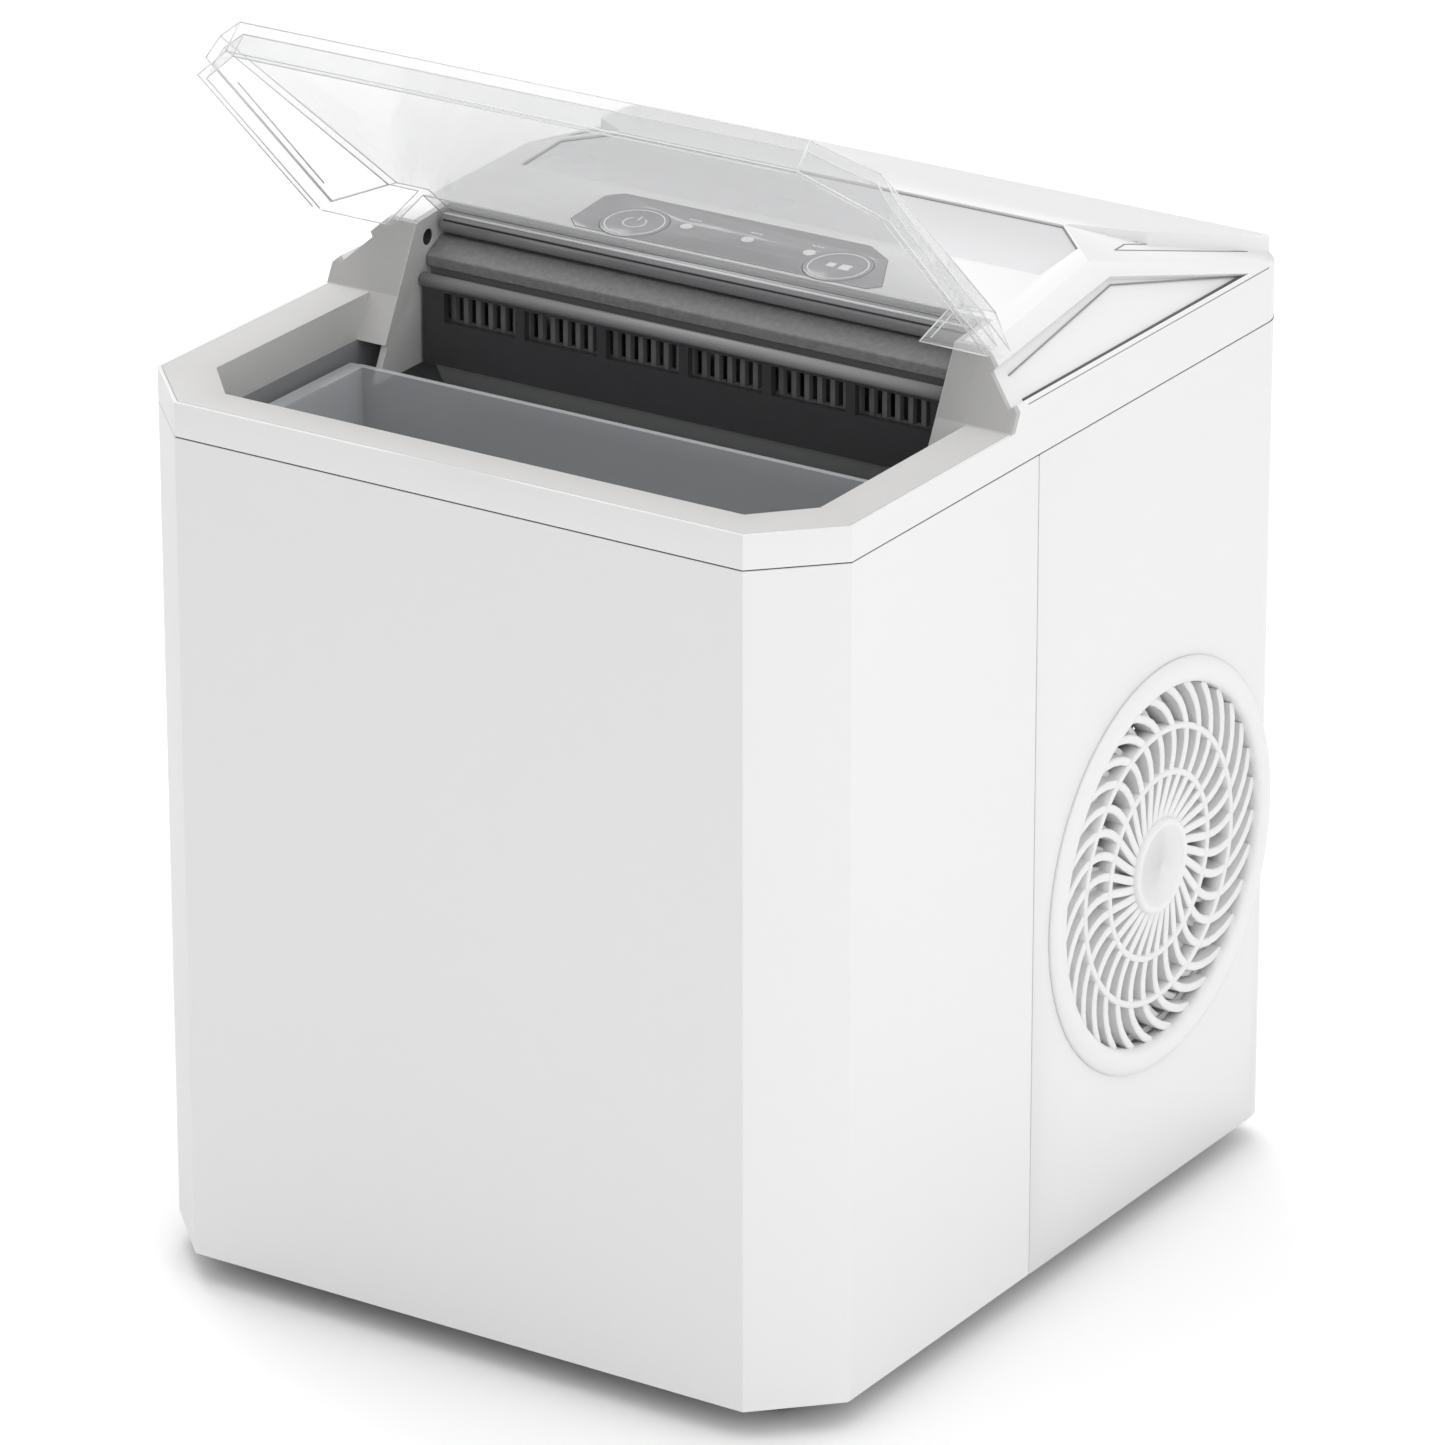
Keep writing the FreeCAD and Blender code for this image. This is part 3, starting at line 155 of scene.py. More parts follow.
def paint_cheek_shade(mat, share):
    """The cheeks' flat faces, above the rim and outside the throat, are painted a darker grey than the rim:
    painted shade on the same grey moulding.
    """
    nodes, links = mat.node_tree.nodes, mat.node_tree.links
    surface = nodes["Principled BSDF"]
    tone = surface.inputs["Base Color"].links[0].from_socket
    where = next(n for n in nodes if n.bl_idname == "ShaderNodeTexCoord")
    split_axes = nodes.new("ShaderNodeSeparateXYZ")
    links.new(where.outputs["Object"], split_axes.inputs["Vector"])
    rim_top, throat_half = 0.2584, 0.0866
    tests = []
    for axis, limit, both_sides in (("Z", rim_top, False), ("X", throat_half, True)):
        value = split_axes.outputs[axis]
        if both_sides:
            width = nodes.new("ShaderNodeMath")
            width.operation = "ABSOLUTE"
            links.new(value, width.inputs[0])
            value = width.outputs["Value"]
        test = nodes.new("ShaderNodeMath")
        test.operation = "GREATER_THAN"
        test.inputs[1].default_value = limit
        links.new(value, test.inputs[0])
        tests.append(test)
    both_true = nodes.new("ShaderNodeMath")
    both_true.operation = "MULTIPLY"
    links.new(tests[0].outputs["Value"], both_true.inputs[0])
    links.new(tests[1].outputs["Value"], both_true.inputs[1])
    shade = nodes.new("ShaderNodeMix")
    shade.data_type = "RGBA"
    shade.blend_type = "MULTIPLY"
    shade.inputs["B"].default_value = (share, share, share, 1.0)
    links.new(both_true.outputs["Value"], shade.inputs["Factor"])
    links.new(tone, shade.inputs["A"])
    links.new(shade.outputs["Result"], surface.inputs["Base Color"])


# cheeks darkened on the rim's own moulding: painted shade
paint_cheek_shade(frame_grey, 0.84)
tank_grey = new_finish("tank_moulding", "tank_grey", (0.20, 0.205, 0.21), 0.45,
                       grain=0.2, grain_scale=1000.0, mottle=0.03)
cover_dark = new_finish("cover_texture", "cover_dark", (0.21, 0.21, 0.214), 0.62,
                        grain=0.9, grain_scale=1100.0, mottle=0.30, mottle_scale=620.0)
guard_dark = new_finish("guard_moulding", "guard_dark", (0.20, 0.20, 0.205), 0.45,
                        grain=0.3, grain_scale=1000.0, mottle=0.03)
pusher_dark = new_finish("pusher_moulding", "pusher_dark", (0.045, 0.045, 0.048), 0.40,
                         grain=0.3, grain_scale=900.0, mottle=0.04)
sensor_black = new_finish("sensor_window", "sensor_black", (0.01, 0.01, 0.012), 0.12, mottle=0.02, coat=0.5)
works_black = new_finish("works_moulding", "works_black", (0.02, 0.02, 0.021), 0.50,
                         grain=0.3, grain_scale=900.0, mottle=0.05)
works_grey = new_finish("works_light_moulding", "works_grey", (0.45, 0.45, 0.45), 0.45,
                        grain=0.2, grain_scale=900.0, mottle=0.02)
board_green = new_finish("board_lacquer", "board_green", (0.02, 0.11, 0.045), 0.35,
                         grain=0.3, grain_scale=500.0, mottle=0.08, mottle_scale=60.0)
steel_pin = new_finish("pin_steel", "pin_steel", (0.62, 0.62, 0.64), 0.28,
                       grain=0.25, metal=1.0, brushed=(120.0, 900.0, 900.0), grain_scale=1.0)
motor_metal = new_finish("motor_steel", "motor_metal", (0.50, 0.50, 0.52), 0.36,
                         grain=0.25, metal=1.0, brushed=(900.0, 900.0, 90.0), grain_scale=1.0)
finger_metal = new_finish("plated_fingers", "finger_metal", (0.74, 0.74, 0.76), 0.14, mottle=0.03, metal=1.0)
foam_black = new_finish("foam_wrap", "foam_black", (0.02, 0.02, 0.02), 0.95,
                        grain=1.0, grain_scale=600.0, mottle=0.2, mottle_scale=300.0)
hose_milky = new_finish("hose_silicone", "hose_clear", (0.62, 0.62, 0.58), 0.35, mottle=0.03)
plug_rubber = new_finish("plug_rubber", "plug_rubber", (0.62, 0.62, 0.60), 0.60, grain=0.2, mottle=0.03)
pan_steel = new_finish("pan_coating", "pan_steel", (0.28, 0.285, 0.29), 0.45,
                       grain=0.35, grain_scale=700.0, mottle=0.03)
foot_rubber = new_finish("foot_rubber", "foot_rubber", (0.012, 0.012, 0.012), 0.75,
                         grain=0.5, grain_scale=800.0, mottle=0.1)
can_black = new_finish("can_enamel", "can_black", (0.010, 0.010, 0.011), 0.25,
                       grain=0.15, grain_scale=300.0, mottle=0.05, coat=0.4)
fin_metal = new_finish("fin_aluminium", "fin_aluminium", (0.66, 0.67, 0.68), 0.34,
                       grain=0.3, metal=1.0, brushed=(900.0, 900.0, 60.0), grain_scale=1.0)
pipe_copper = new_finish("pipe_copper", "pipe_copper", (0.72, 0.36, 0.22), 0.26,
                         grain=0.15, grain_scale=700.0, mottle=0.08, mottle_scale=60.0, metal=1.0)
# dark and grey lines of painted shade for grooves, insets and joints
groove_shade_dark = new_finish("joint_shadow", "works_black", (0.10, 0.10, 0.10), 0.7, grain=0.3, mottle=0.05)
line_shade_grey = new_finish("line_shadow", "works_grey", (0.26, 0.26, 0.26), 0.6, grain=0.2, mottle=0.04)
lid_clear = clear_finish("lid_plastic", "lid_clear", (0.68, 0.685, 0.69), 0.105, 0.46, 2.2)
# pale lid edge strips: painted highlight of the clear plastic's edges
lid_edge_highlight = new_finish("lid_edge_painted_highlight", "lid_clear", (0.74, 0.745, 0.75), 0.25,
                      mottle=0.04, mottle_scale=40.0, coat=0.3)
# barrel: opaque grey stands for the clear barrel's painted reflection of the dark parts behind it
barrel_painted_reflection = new_finish("lid_barrel_painted_reflection", "lid_clear", (0.25, 0.25, 0.257), 0.22,
                          mottle=0.06, mottle_scale=30.0, coat=0.4)
# pusher rod: lighter copy of the pusher's dark moulding, painted light
rod_painted_light = new_finish("rod_painted_light_moulding", "pusher_dark", (0.27, 0.27, 0.275), 0.40,
                        grain=0.3, grain_scale=900.0, mottle=0.03)
basket_clear = clear_finish("basket_plastic", "basket_clear", (0.62, 0.64, 0.66), 0.30, 0.80, 1.2, 0.12)

finish_of = {
    "front_shell": white_shell, "rear_shell": white_shell, "top_cover": white_shell, "deck_panel": deck_light,
    "control_panel": panel_gloss, "left_button": button_gloss, "right_button": button_gloss,
    "indicator_lenses": lens_white, "control_board": board_green, "power_board": board_green,
    "well_frame": frame_grey, "water_tank": tank_grey, "tank_insulation": foam_black, "lid": lid_clear,
    "lid_pins": steel_pin, "ice_sensors": sensor_black, "ice_basket": basket_clear, "level_probes": steel_pin,
    "probe_holder": works_black, "evaporator_cover": cover_dark, "slotted_guard": guard_dark,
    "ice_pusher": pusher_dark, "evaporator_bridge": works_grey, "evaporator": finger_metal,
    "water_tray": works_grey, "tray_motor": motor_metal, "water_pump": works_black, "pump_hose": hose_milky,
    "drain_hose": hose_milky, "drain_socket": works_grey, "drain_plug": plug_rubber, "base_pan": pan_steel,
    "feet": foot_rubber, "foot_screws": steel_pin, "base_screws": steel_pin, "bulkhead": works_black,
    "board_standoffs": works_black, "power_gland": works_black, "compressor": can_black,
    "compressor_grommets": foot_rubber, "compressor_bolts": steel_pin, "condenser": fin_metal,
    "fan_shroud": works_grey, "fan_motor": motor_metal, "fan_shaft": steel_pin, "fan_blade": works_grey,
    "side_grille": white_grille, "left_vent": white_grille, "filter_drier": pipe_copper,
    "discharge_pipe": pipe_copper, "liquid_pipe": pipe_copper, "suction_pipe": pipe_copper,
    "capillary_pipe": pipe_copper,
}
for node, mat in finish_of.items():
    mesh = frame["nodes"][node].data
    mesh.materials.clear()
    mesh.materials.append(mat)

body_of = {n: b for b, names in frame["record"]["behaviour"]["bodies"].items() for n in names}


# ------------------------------------------------------------------ pieces
def add_piece(name, mesh, mat, body):
    """Links a mesh as a piece that moves with a body and carries the given finish."""
    piece = bpy.data.objects.new(name, mesh)
    scene.collection.objects.link(piece)
    mesh.materials.clear()
    mesh.materials.append(mat)
    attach(piece, body)
    return piece


def softened(node, width, segments=3, angle=22.0):
    """The node's own shape with small rounded edges: its triangles are merged and flattened into whole
    faces, and every edge sharper than the angle is rounded to the width."""
    source = frame["nodes"][node]
    work = bmesh.new()
    work.from_mesh(source.data)
    bmesh.ops.remove_doubles(work, verts=work.verts, dist=2e-6)
    bmesh.ops.dissolve_limit(work, angle_limit=math.radians(1.0), verts=work.verts, edges=work.edges)
    for face in work.faces:
        face.smooth = True
    mesh = bpy.data.meshes.new(node + "_soft")
    work.to_mesh(mesh)
    work.free()
    piece = add_piece(node + "_soft", mesh, finish_of[node], body_of[node])
    bevel = piece.modifiers.new("edges", "BEVEL")
    bevel.width = width
    bevel.segments = segments
    bevel.limit_method = "ANGLE"
    bevel.angle_limit = math.radians(angle)
    bevel.use_clamp_overlap = True
    bevel.harden_normals = True
    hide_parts(node)
    return piece


for node, width in (("front_shell", 0.0003), ("rear_shell", 0.0003), ("top_cover", 0.0003),
                    ("well_frame", 0.0004), ("ice_basket", 0.0006), ("water_tank", 0.0005),
                    ("evaporator_cover", 0.0005), ("control_panel", 0.0003), ("deck_panel", 0.0003),
                    ("left_button", 0.0004), ("right_button", 0.0004), ("left_vent", 0.0004),
                    ("base_pan", 0.0004), ("feet", 0.0006), ("power_gland", 0.0004), ("drain_socket", 0.0004),
                    ("drain_plug", 0.0004)):
    softened(node, width)


# ------------------------------------------------------------------ surfaces worked out on grids
def grid_mesh(name, points, wrap_u=False, wrap_v=False, cap_u=False, smooth=True):
    """Mesh of one or more (count, nu, nv, 3) grids of points: quads between neighbours, joined round in u
    or v where wrapped, with the two ends in u closed by a face where capped."""
    points = np.asarray(points, dtype=float)
    if points.ndim == 3:
        points = points[None]
    count, nu, nv, _ = points.shape
    index = np.arange(count * nu * nv).reshape(count, nu, nv)
    iu = index if not wrap_u else np.concatenate([index, index[:, :1]], axis=1)
    iv = iu if not wrap_v else np.concatenate([iu, iu[:, :, :1]], axis=2)
    quads = np.stack([iv[:, :-1, :-1], iv[:, 1:, :-1], iv[:, 1:, 1:], iv[:, :-1, 1:]], axis=-1).reshape(-1, 4)
    faces = quads.tolist()
    if cap_u:
        faces += index[:, 0].tolist() + index[:, -1, ::-1].tolist()
    mesh = bpy.data.meshes.new(name)
    mesh.from_pydata(points.reshape(-1, 3).tolist(), [], faces)
    mesh.polygons.foreach_set("use_smooth", np.full(len(mesh.polygons), smooth))
    work = bmesh.new()
    work.from_mesh(mesh)
    bmesh.ops.remove_doubles(work, verts=work.verts, dist=1e-7)
    bmesh.ops.recalc_face_normals(work, faces=work.faces)
    work.to_mesh(mesh)
    work.free()
    mesh.update()
    return mesh


def turned_round_x(profile, centre, steps=96):
    """Surface of revolution about an axis along X: each (radius, x) of the closed profile is carried round
    a circle in Y and Z."""
    profile = np.asarray(profile, dtype=float)
    angle = np.linspace(0.0, 2.0 * np.pi, steps, endpoint=False)[:, None]
    radius, along = profile[None, :, 0], profile[None, :, 1]
    return np.stack([centre[0] + along + 0.0 * angle, centre[1] + radius * np.cos(angle),
                     centre[2] + radius * np.sin(angle)], axis=-1)


def beads(name, starts, ends, radius, mat, body):
    """Round-edged bars along straight lines: at each end of a line, eight points on a circle square to it."""
    starts, ends = np.asarray(starts, dtype=float), np.asarray(ends, dtype=float)
    along = ends - starts
    along /= np.linalg.norm(along, axis=1, keepdims=True)
    helper = np.where(np.abs(along[:, 2:3]) < 0.9, np.array([[0.0, 0.0, 1.0]]), np.array([[0.0, 1.0, 0.0]]))
    side = np.cross(along, helper)
    side /= np.linalg.norm(side, axis=1, keepdims=True)
    other = np.cross(along, side)
    angle = np.linspace(0.0, 2.0 * np.pi, 8, endpoint=False)
    cos, sin = np.cos(angle)[None, :, None], np.sin(angle)[None, :, None]
    circle = (side[:, None] * cos + other[:, None] * sin) * radius
    grid = np.stack([starts[:, None] + circle, ends[:, None] + circle], axis=1)
    return add_piece(name, grid_mesh(name, grid, wrap_v=True, cap_u=True), mat, body)


def feature_lines(node, angle, shortest):
    """Start and end points of the node's edges where its faces meet at more than the angle."""
    work = bmesh.new()
    work.from_mesh(frame["nodes"][node].data)
    bmesh.ops.remove_doubles(work, verts=work.verts, dist=2e-6)
    bmesh.ops.dissolve_limit(work, angle_limit=math.radians(1.0), verts=work.verts, edges=work.edges)
    lines = [(tuple(e.verts[0].co), tuple(e.verts[1].co)) for e in work.edges if len(e.link_faces) == 2
             and e.calc_face_angle(0.0) > math.radians(angle) and e.calc_length() > shortest]
    work.free()
    return np.array([line[0] for line in lines]), np.array([line[1] for line in lines])


# lid: pale strips along its edges, a painted highlight of the clear plastic's edges, and the clear barrel
# drawn as an opaque grey tube with painted reflections
lid_starts, lid_ends = feature_lines("lid", 25.0, 0.006)
beads("lid_edge_highlights", lid_starts, lid_ends, 0.0002, lid_edge_highlight, "lid")
# pale lines down the lid's end plates: painted highlight along their ridges
ridge_top, ridge_foot = np.array([0.1070, -0.0674, 0.3284]), np.array([0.1069, -0.0290, 0.2888])
mirror = np.array([-1.0, 1.0, 1.0])
beads("lid_end_ridges", [ridge_top, ridge_top * mirror], [ridge_foot, ridge_foot * mirror],
      0.00024, lid_edge_highlight, "lid")
low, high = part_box("lid_pins")
axis_y, axis_z = (low[1] + high[1]) / 2, (low[2] + high[2]) / 2
barrel_half = 0.0851
barrel_steps = np.linspace(0.0, 2.0 * np.pi, 48, endpoint=False)
barrel_x = np.array([-barrel_half, -barrel_half + 0.0004, barrel_half - 0.0004, barrel_half])[:, None]
barrel_r = np.array([0.0029, 0.0034, 0.0034, 0.0029])[:, None]
barrel_grid = np.stack([barrel_x + 0.0 * barrel_steps, axis_y + barrel_r * np.cos(barrel_steps),
                        axis_z + barrel_r * np.sin(barrel_steps)], axis=-1)
add_piece("lid_barrel", grid_mesh("lid_barrel", barrel_grid, wrap_v=True, cap_u=True), barrel_painted_reflection, "lid")

# painted reflections on the barrel's clear wall: dark lines of painted reflection and a pale line of painted
# highlight along it, at turns about its axis
reflection_line_radius = 0.0033
barrel_reflection_lines = ((2.75, 0.00030, works_black), (2.20, 0.00042, lid_edge_highlight), (1.70, 0.00022, works_black))
for k, (turn, thick, mat) in enumerate(barrel_reflection_lines):
    reflection_line_y = axis_y + reflection_line_radius * math.cos(turn)
    reflection_line_z = axis_z + reflection_line_radius * math.sin(turn)
    beads("lid_barrel_reflection_line_%d" % k, [(-barrel_half + 0.001, reflection_line_y, reflection_line_z)],
          [(barrel_half - 0.001, reflection_line_y, reflection_line_z)], thick, mat, "lid")

# pusher rod: sleeve below the evaporator's cover, drawn as a lighter copy of the pusher's dark moulding:
# painted light on the rod
low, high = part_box("ice_pusher")
rod_radius, rod_y, rod_z = 0.0020, -0.0125, high[2] - 0.0015
rod_half = high[0] - 0.0022
rod_x = np.array([-rod_half, rod_half])[:, None]
rod_angle = np.linspace(0.0, 2.0 * np.pi, 24, endpoint=False)
rod_grid = np.stack([rod_x + 0.0 * rod_angle, rod_y + rod_radius * np.cos(rod_angle) + 0.0 * rod_x,
                     rod_z + rod_radius * np.sin(rod_angle) + 0.0 * rod_x], axis=-1)
add_piece("pusher_rod_sleeve", grid_mesh("pusher_rod_sleeve", rod_grid, wrap_v=True, cap_u=True), rod_painted_light,
          "pusher")

# side grille: raised rim, two rings, dished hub and ribs that bow from hub to rim
low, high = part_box("side_grille")
centre = (high[0] - 0.002, (low[1] + high[1]) / 2, (low[2] + high[2]) / 2)
deep = -0.0068
rim_profile = [(0.0595, 0.0), (0.0594, 0.0007), (0.0588, 0.0013), (0.0572, 0.0018), (0.0560, 0.0020),
               (0.0538, 0.0020), (0.0528, 0.0017), (0.0522, 0.0010), (0.0520, 0.0), (0.0520, deep),
               (0.0530, deep), (0.0530, -0.0002)]
rim = add_piece("grille_rim", grid_mesh("grille_rim", turned_round_x(rim_profile, centre, 160),
                                        wrap_u=True, wrap_v=True), white_grille, "casing")
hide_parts("side_grille")
ring_half, ring_crown = 0.00095, 0.0007
for k, radius in enumerate((0.0265, 0.0395)):
    ring_profile = [(radius + ring_half, deep), (radius + ring_half, -0.0003), (radius + ring_crown, 0.0),
                    (radius - ring_crown, 0.0), (radius - ring_half, -0.0003), (radius - ring_half, deep)]
    name = "grille_ring_%d" % k
    add_piece(name, grid_mesh(name, turned_round_x(ring_profile, centre, 120), wrap_u=True, wrap_v=True),
              white_grille, "casing")
hub_profile = [(0.00001, 0.0002), (0.0108, 0.0002), (0.0113, 0.0008), (0.0119, 0.0011), (0.0130, 0.0011),
               (0.0136, 0.0007), (0.0138, 0.0), (0.0138, deep), (0.00001, deep)]
add_piece("grille_hub", grid_mesh("grille_hub", turned_round_x(hub_profile, centre, 96),
                                  wrap_u=True, wrap_v=True), white_grille, "casing")


def bowed_ribs(count, r0, r1, bow, wide, x_front, x_back, start=0.0):
    """Ribs between two radii: the angle of a rib's middle line at share t of the way out is its start angle
    less bow times 4 t (1 - t), plus a lean of half the bow times t; the section is a bar wide across and
    from x_front to x_back deep, narrowed a little at its front."""
    t = np.linspace(0.0, 1.0, 15)
    radius = r0 + (r1 - r0) * t
    base = start + np.arange(count) * 2.0 * np.pi / count
    angle = base[:, None] - bow * 4.0 * t * (1.0 - t) + 0.5 * bow * t
    middle = np.stack([radius * np.cos(angle), radius * np.sin(angle)], axis=-1)
    along = np.gradient(middle, axis=1)
    along /= np.linalg.norm(along, axis=-1, keepdims=True)
    across = np.stack([-along[..., 1], along[..., 0]], axis=-1)
    section = [(-0.5, x_back), (-0.5, x_front - 0.0003), (-0.34, x_front),
               (0.34, x_front), (0.5, x_front - 0.0003), (0.5, x_back)]
    rows = []
    for share, x in section:
        flat = middle + across * (share * wide)
        rows.append(np.concatenate([np.full(flat.shape[:-1] + (1,), x), flat], axis=-1))
    return np.stack(rows, axis=2) + np.array(centre)


rib_count, rib_inner, rib_outer = 32, 0.0134, 0.0524
ribs = bowed_ribs(rib_count, rib_inner, rib_outer, 0.30, 0.0024, -0.0002, deep)
add_piece("grille_ribs", grid_mesh("grille_ribs", ribs, wrap_v=True, cap_u=True, smooth=False),
          white_grille, "casing")
back_ribs = bowed_ribs(rib_count, rib_inner, rib_outer, 0.22, 0.0020, -0.0040, deep - 0.0012,
                       start=math.pi / rib_count)
add_piece("grille_back_ribs", grid_mesh("grille_back_ribs", back_ribs, wrap_v=True, cap_u=True, smooth=False),
          white_grille, "casing")

# control film: rings round the buttons and small printed marks
film_tilt = math.radians(4.67)


def on_film(u, v, w):
    """Point of the sloping film: u across, v up the slope from the buttons' middle, w off the surface."""
    base_y, base_z = 0.01249, 0.27901
    y = base_y + v * math.cos(film_tilt) - w * math.sin(film_tilt)
    z = base_z + v * math.sin(film_tilt) + w * math.cos(film_tilt)
    return np.stack([u + 0.0 * y, y, z], axis=-1)


def film_ring(name, u0, v0, r_out, r_in, w0, w1, start=0.0, stop=2.0 * np.pi, body="casing"):
    """Flat ring or part of a ring on the film, between two radii and two heights off the surface."""
    full = stop - start > 6.2
    angle = np.linspace(start, stop, 64, endpoint=not full)[:, None]
    radius = np.array([r_out, r_out, r_in, r_in])[None, :]
    height = np.array([w0, w1, w1, w0])[None, :]
    grid = on_film(u0 + radius * np.cos(angle), v0 + radius * np.sin(angle), height + 0.0 * angle)
    mesh = grid_mesh(name, grid, wrap_u=full, wrap_v=True, cap_u=not full, smooth=False)
    return add_piece(name, mesh, mark_pale, body)


def film_bar(name, u0, v0, long, wide, turn, w0, w1, body="casing"):
    """Short flat bar on the film, turned in its plane."""
    corners = np.array([(-long, -wide), (long, -wide), (long, wide), (-long, wide)]) / 2
    c, s = math.cos(turn), math.sin(turn)
    u = u0 + corners[:, 0] * c - corners[:, 1] * s
    v = v0 + corners[:, 0] * s + corners[:, 1] * c
    grid = np.stack([on_film(u, v, np.full(4, w0)), on_film(u, v, np.full(4, w1))], axis=0)
    return add_piece(name, grid_mesh(name, grid, wrap_v=True, cap_u=True, smooth=False), mark_pale, body)


film_top, mark_foot = 0.0003, 0.0002
ring_out, ring_in = 0.00850, 0.00812
for body, u0 in (("left_button", -0.0328), ("right_button", 0.0328)):
    film_ring(body + "_ring", u0, 0.0, ring_out, ring_in, mark_foot, film_top + 0.00008, body=body)
    if u0 < 0.0:
        film_ring(body + "_mark", u0, 0.0, 0.0034, 0.0030, mark_foot, film_top + 0.00006,
                  math.radians(125), math.radians(415), body=body)
        film_bar(body + "_tick", u0, 0.0026, 0.0026, 0.0004, math.pi / 2,
                 mark_foot, film_top + 0.00006, body=body)
    else:
        for k, side in enumerate((-1.0, 1.0)):
            square = 0.0024 + 0.0008 * k
            film_bar(body + "_mark_%d" % k, u0 + side * 0.0022, 0.0, square, square, 0.0,
                     mark_foot, film_top + 0.00004, body=body)
lamp_row, bar_pitch = 0.0088, 0.0014
for k, u0 in enumerate((-0.0188, 0.001, 0.0208)):
    for j in range(3):
        film_bar("lamp_mark_%d_%d" % (k, j), u0 - 0.0012 + bar_pitch * j, lamp_row, 0.0009, 0.0005, 0.0,
                 0.0001, 0.00026)

# dark lines of painted shade on the side facets: where the long recess meets its walls, and below its foot
facet_turn = math.radians(45.95)
for side, hand in ((-1.0, "left"), (1.0, "right")):
    def on_facet(y, up, lift):
        """Point of the side facet: at y, up the slope from its foot, lift off its surface."""
        return (side * (0.110 - up * math.sin(facet_turn) + lift * math.cos(facet_turn)), y,
                0.26325 + up * math.cos(facet_turn) + lift * math.sin(facet_turn))

    rear_top = 0.01867
    foot_front, foot_rear = on_facet(-0.0135, 0.0027, -0.0016), on_facet(0.1015, 0.0027, -0.0013)
    top_front, top_rear = on_facet(-0.0120, 0.0104, -0.0015), on_facet(0.0498, rear_top - 0.0003, -0.0015)
    beads(hand + "_facet_foot", [foot_front], [foot_rear], 0.0005, groove_shade_dark, "casing")
    beads(hand + "_facet_lines", [top_front, top_rear], [top_rear, foot_rear], 0.00022, line_shade_grey, "casing")
    beads(hand + "_facet_shade_line", [on_facet(-0.0150, 0.0008, -0.00012)], [on_facet(0.1120, 0.0008, -0.00012)],
          0.0002, line_shade_grey, "casing")


# rear corner facets: dark lines of painted shade outlining the narrow inset along each one
def on_corner(side, x, y, lift):
    """Point of a rear corner facet, a plane that falls 0.2585 per metre outward and 0.1843 per metre back."""
    return (side * x, y, 0.28179 - 0.2585 * (x - 0.09083) - 0.1843 * (y - 0.0465) + lift)


for side, hand in ((-1.0, "left"), (1.0, "right")):
    marks = [on_corner(side, x, y, -0.0001)
             for x, y in ((0.0885, 0.0640), (0.0868, 0.0720), (0.0978, 0.1165), (0.1018, 0.1130))]
    beads(hand + "_corner_lines", marks, marks[1:] + marks[:1], 0.00028, line_shade_grey, "casing")

# fine dark line of painted shade in the joint round the deck's inset panel
panel_starts, panel_ends = feature_lines("deck_panel", 30.0, 0.001)
beads("deck_panel_joint_shade", panel_starts, panel_ends, 0.00016, line_shade_grey, "casing")

# dark band of painted shade set into the seam between shells and top cover
low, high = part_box("top_cover")
shell_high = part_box("front_shell")[1][2]
half_x, front, back = high[0] - 0.0002, low[1] + 0.0002, high[1] - 0.0002
cut, corner = 0.0203, 0.011
arc = np.linspace(0.0, np.pi / 2, 9)
right_back = np.stack([half_x - corner + corner * np.cos(arc), back - corner + corner * np.sin(arc)], axis=-1)
left_back = np.stack([-half_x + corner - corner * np.sin(arc), back - corner + corner * np.cos(arc)], axis=-1)
front_corners = [(-half_x + cut, front), (half_x - cut, front), (half_x, front + cut)]
outline = np.concatenate([front_corners, right_back, left_back, [(-half_x, front + cut)]])
joint_depth, joint_low, joint_high = 0.0012, shell_high - 0.00025, shell_high + 0.00065
inner_outline = outline * np.array([1 - joint_depth / half_x, 1 - joint_depth / back])
joint = []
for ring_points, z in ((outline, joint_low), (outline, joint_high),
                       (inner_outline, joint_high), (inner_outline, joint_low)):
    joint.append(np.concatenate([ring_points, np.full((len(ring_points), 1), z)], axis=1))
joint = np.stack(joint, axis=1)
add_piece("shadow_joint", grid_mesh("shadow_joint", joint, wrap_u=True, wrap_v=True, smooth=False),
          works_black, "casing")


# ------------------------------------------------------------------ stage, camera and lights
def stage_plane(name, x0, x1, y0, y1, z, mat):
    mesh = bpy.data.meshes.new(name)
    mesh.from_pydata([(x0, y0, z), (x1, y0, z), (x1, y1, z), (x0, y1, z)], [], [(0, 1, 2, 3)])
    mesh.materials.append(mat)
    plane = bpy.data.objects.new(name, mesh)
    scene.collection.objects.link(plane)
    return plane


floor_mat = bpy.data.materials.new("floor_paper")
floor_mat.use_nodes = True
floor_mat.node_tree.nodes["Principled BSDF"].inputs["Base Color"].default_value = (0.94, 0.94, 0.94, 1.0)
floor_mat.node_tree.nodes["Principled BSDF"].inputs["Roughness"].default_value = 0.9
stage_plane("floor", -8, 8, -8, 8, -0.0005, floor_mat)

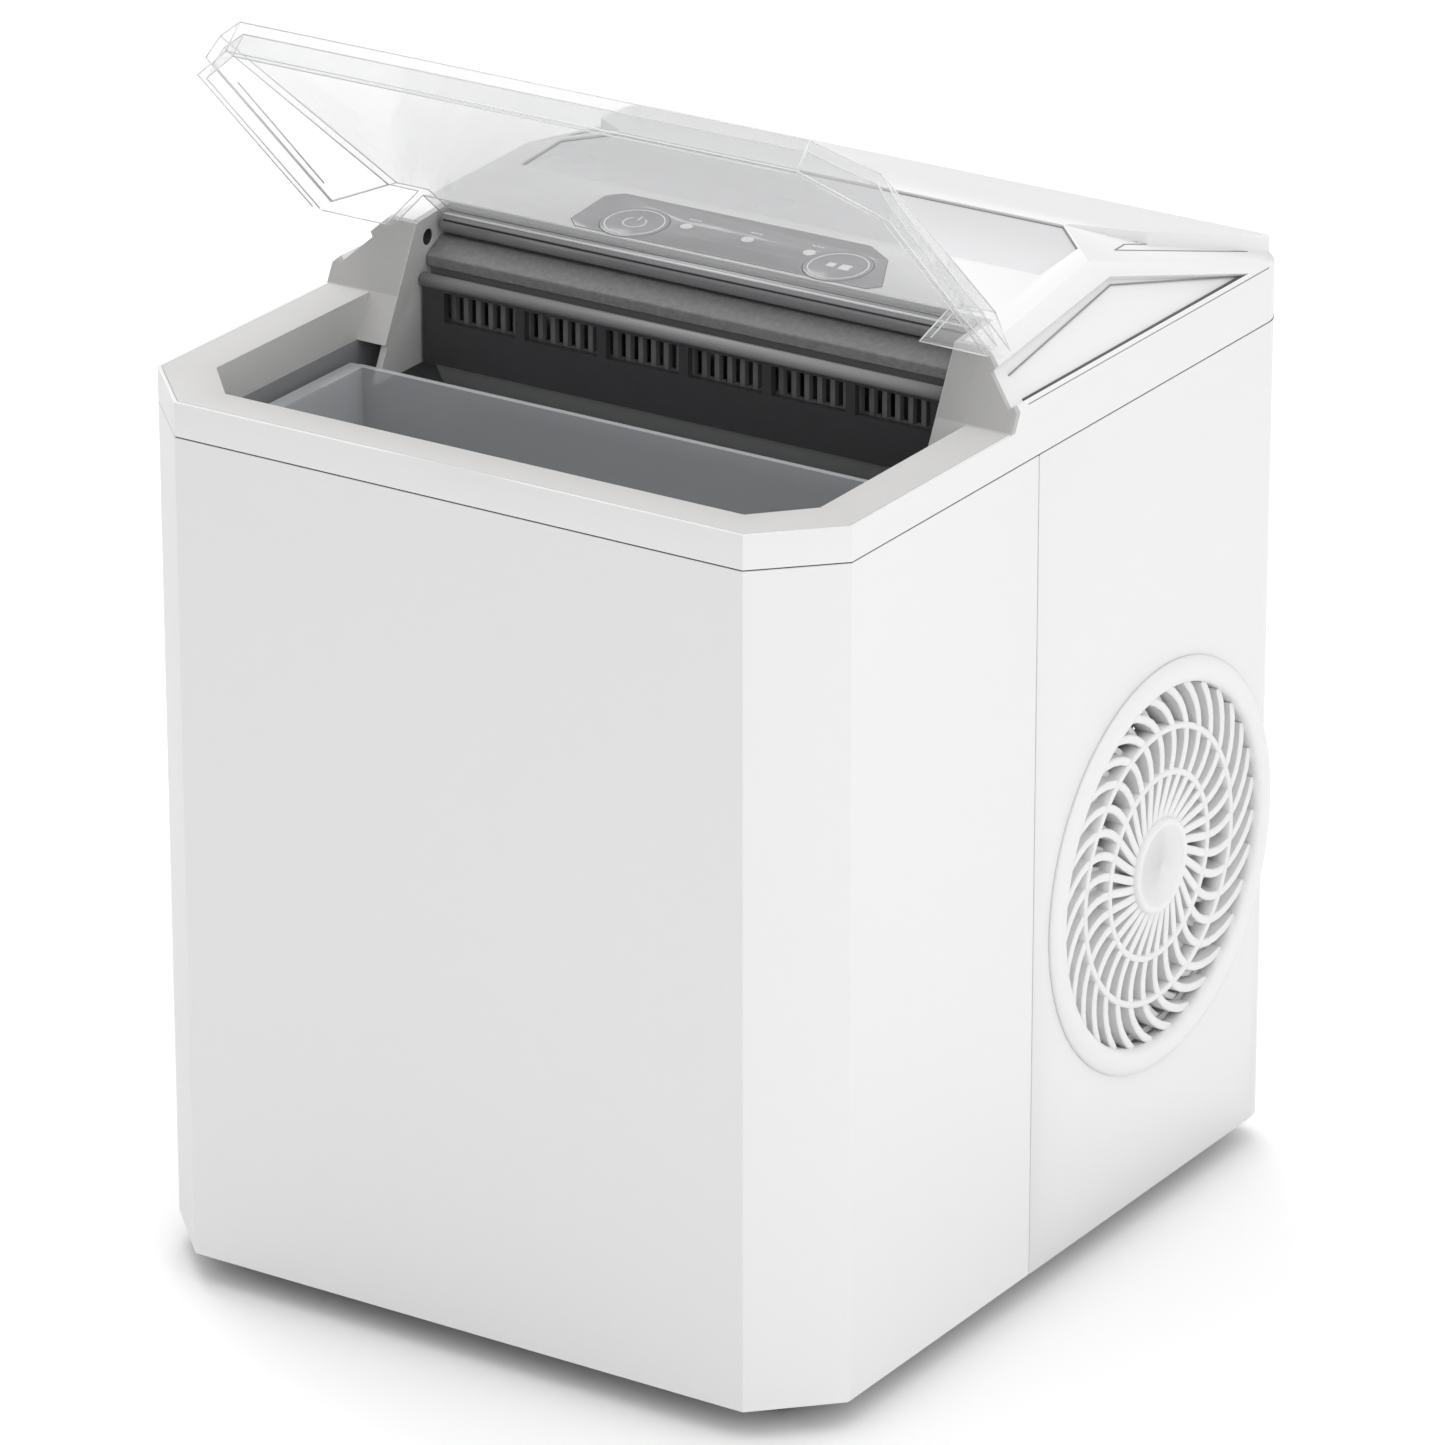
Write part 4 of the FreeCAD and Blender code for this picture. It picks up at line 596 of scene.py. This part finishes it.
world = bpy.data.worlds.new("studio")
scene.world = world
world.use_nodes = True
sky_nodes, sky_links = world.node_tree.nodes, world.node_tree.links
sky = sky_nodes["Background"]
sky.inputs["Color"].default_value = (1.0, 1.0, 1.0, 1.0)
toward = sky_nodes.new("ShaderNodeTexCoord")
split = sky_nodes.new("ShaderNodeSeparateXYZ")
side_glow = sky_nodes.new("ShaderNodeMapRange")
side_glow.inputs["To Min"].default_value = 0.12
side_glow.inputs["To Max"].default_value = 0.42
up_glow = sky_nodes.new("ShaderNodeMapRange")
up_glow.inputs["To Min"].default_value = 0.0
up_glow.inputs["To Max"].default_value = 1.30
both = sky_nodes.new("ShaderNodeMath")
sky_links.new(toward.outputs["Generated"], split.inputs["Vector"])
sky_links.new(split.outputs["X"], side_glow.inputs["Value"])
seen = sky_nodes.new("ShaderNodeLightPath")
shown = sky_nodes.new("ShaderNodeMix")
shown.inputs["B"].default_value = 0.97
sky_links.new(seen.outputs["Is Camera Ray"], shown.inputs["Factor"])
sky_links.new(split.outputs["Z"], up_glow.inputs["Value"])
sky_links.new(side_glow.outputs["Result"], both.inputs[0])
sky_links.new(up_glow.outputs["Result"], both.inputs[1])
sky_links.new(both.outputs["Value"], shown.inputs["A"])
sky_links.new(shown.outputs["Result"], sky.inputs["Strength"])


def soft_light(name, place, target, size, power):
    lamp = bpy.data.lights.new(name, "AREA")
    lamp.shape = "RECTANGLE"
    lamp.size, lamp.size_y = size
    lamp.energy = power
    holder = bpy.data.objects.new(name, lamp)
    scene.collection.objects.link(holder)
    holder.location = place
    holder.rotation_euler = (Vector(target) - Vector(place)).to_track_quat("-Z", "Y").to_euler()
    return holder


soft_light("key_right", (2.2, -0.1, 0.8), (0.0, 0.0, 0.15), (1.4, 1.4), 7.2)
soft_light("overhead", (-1.0, 0.7, 2.0), (0.0, 0.0, 0.3), (1.2, 1.2), 13.0)
soft_light("front_right", (0.65, -0.85, 0.55), (0.05, -0.1, 0.15), (0.5, 0.5), 1.0)

azimuth, elevation, roll = (math.radians(a) for a in (32.97, 22.46, 0.06))
cam = bpy.data.cameras.new("camera")
cam.sensor_width = 36.0
cam.lens = 229.6
cam.clip_start = 0.1
cam.clip_end = 50.0
eye = bpy.data.objects.new("camera", cam)
scene.collection.objects.link(eye)
eye.location = (1.2787, -1.9638, 1.1123)
eye.rotation_euler = (math.pi / 2 - elevation, roll, azimuth)
scene.camera = eye
scene.view_settings.view_transform = "Standard"
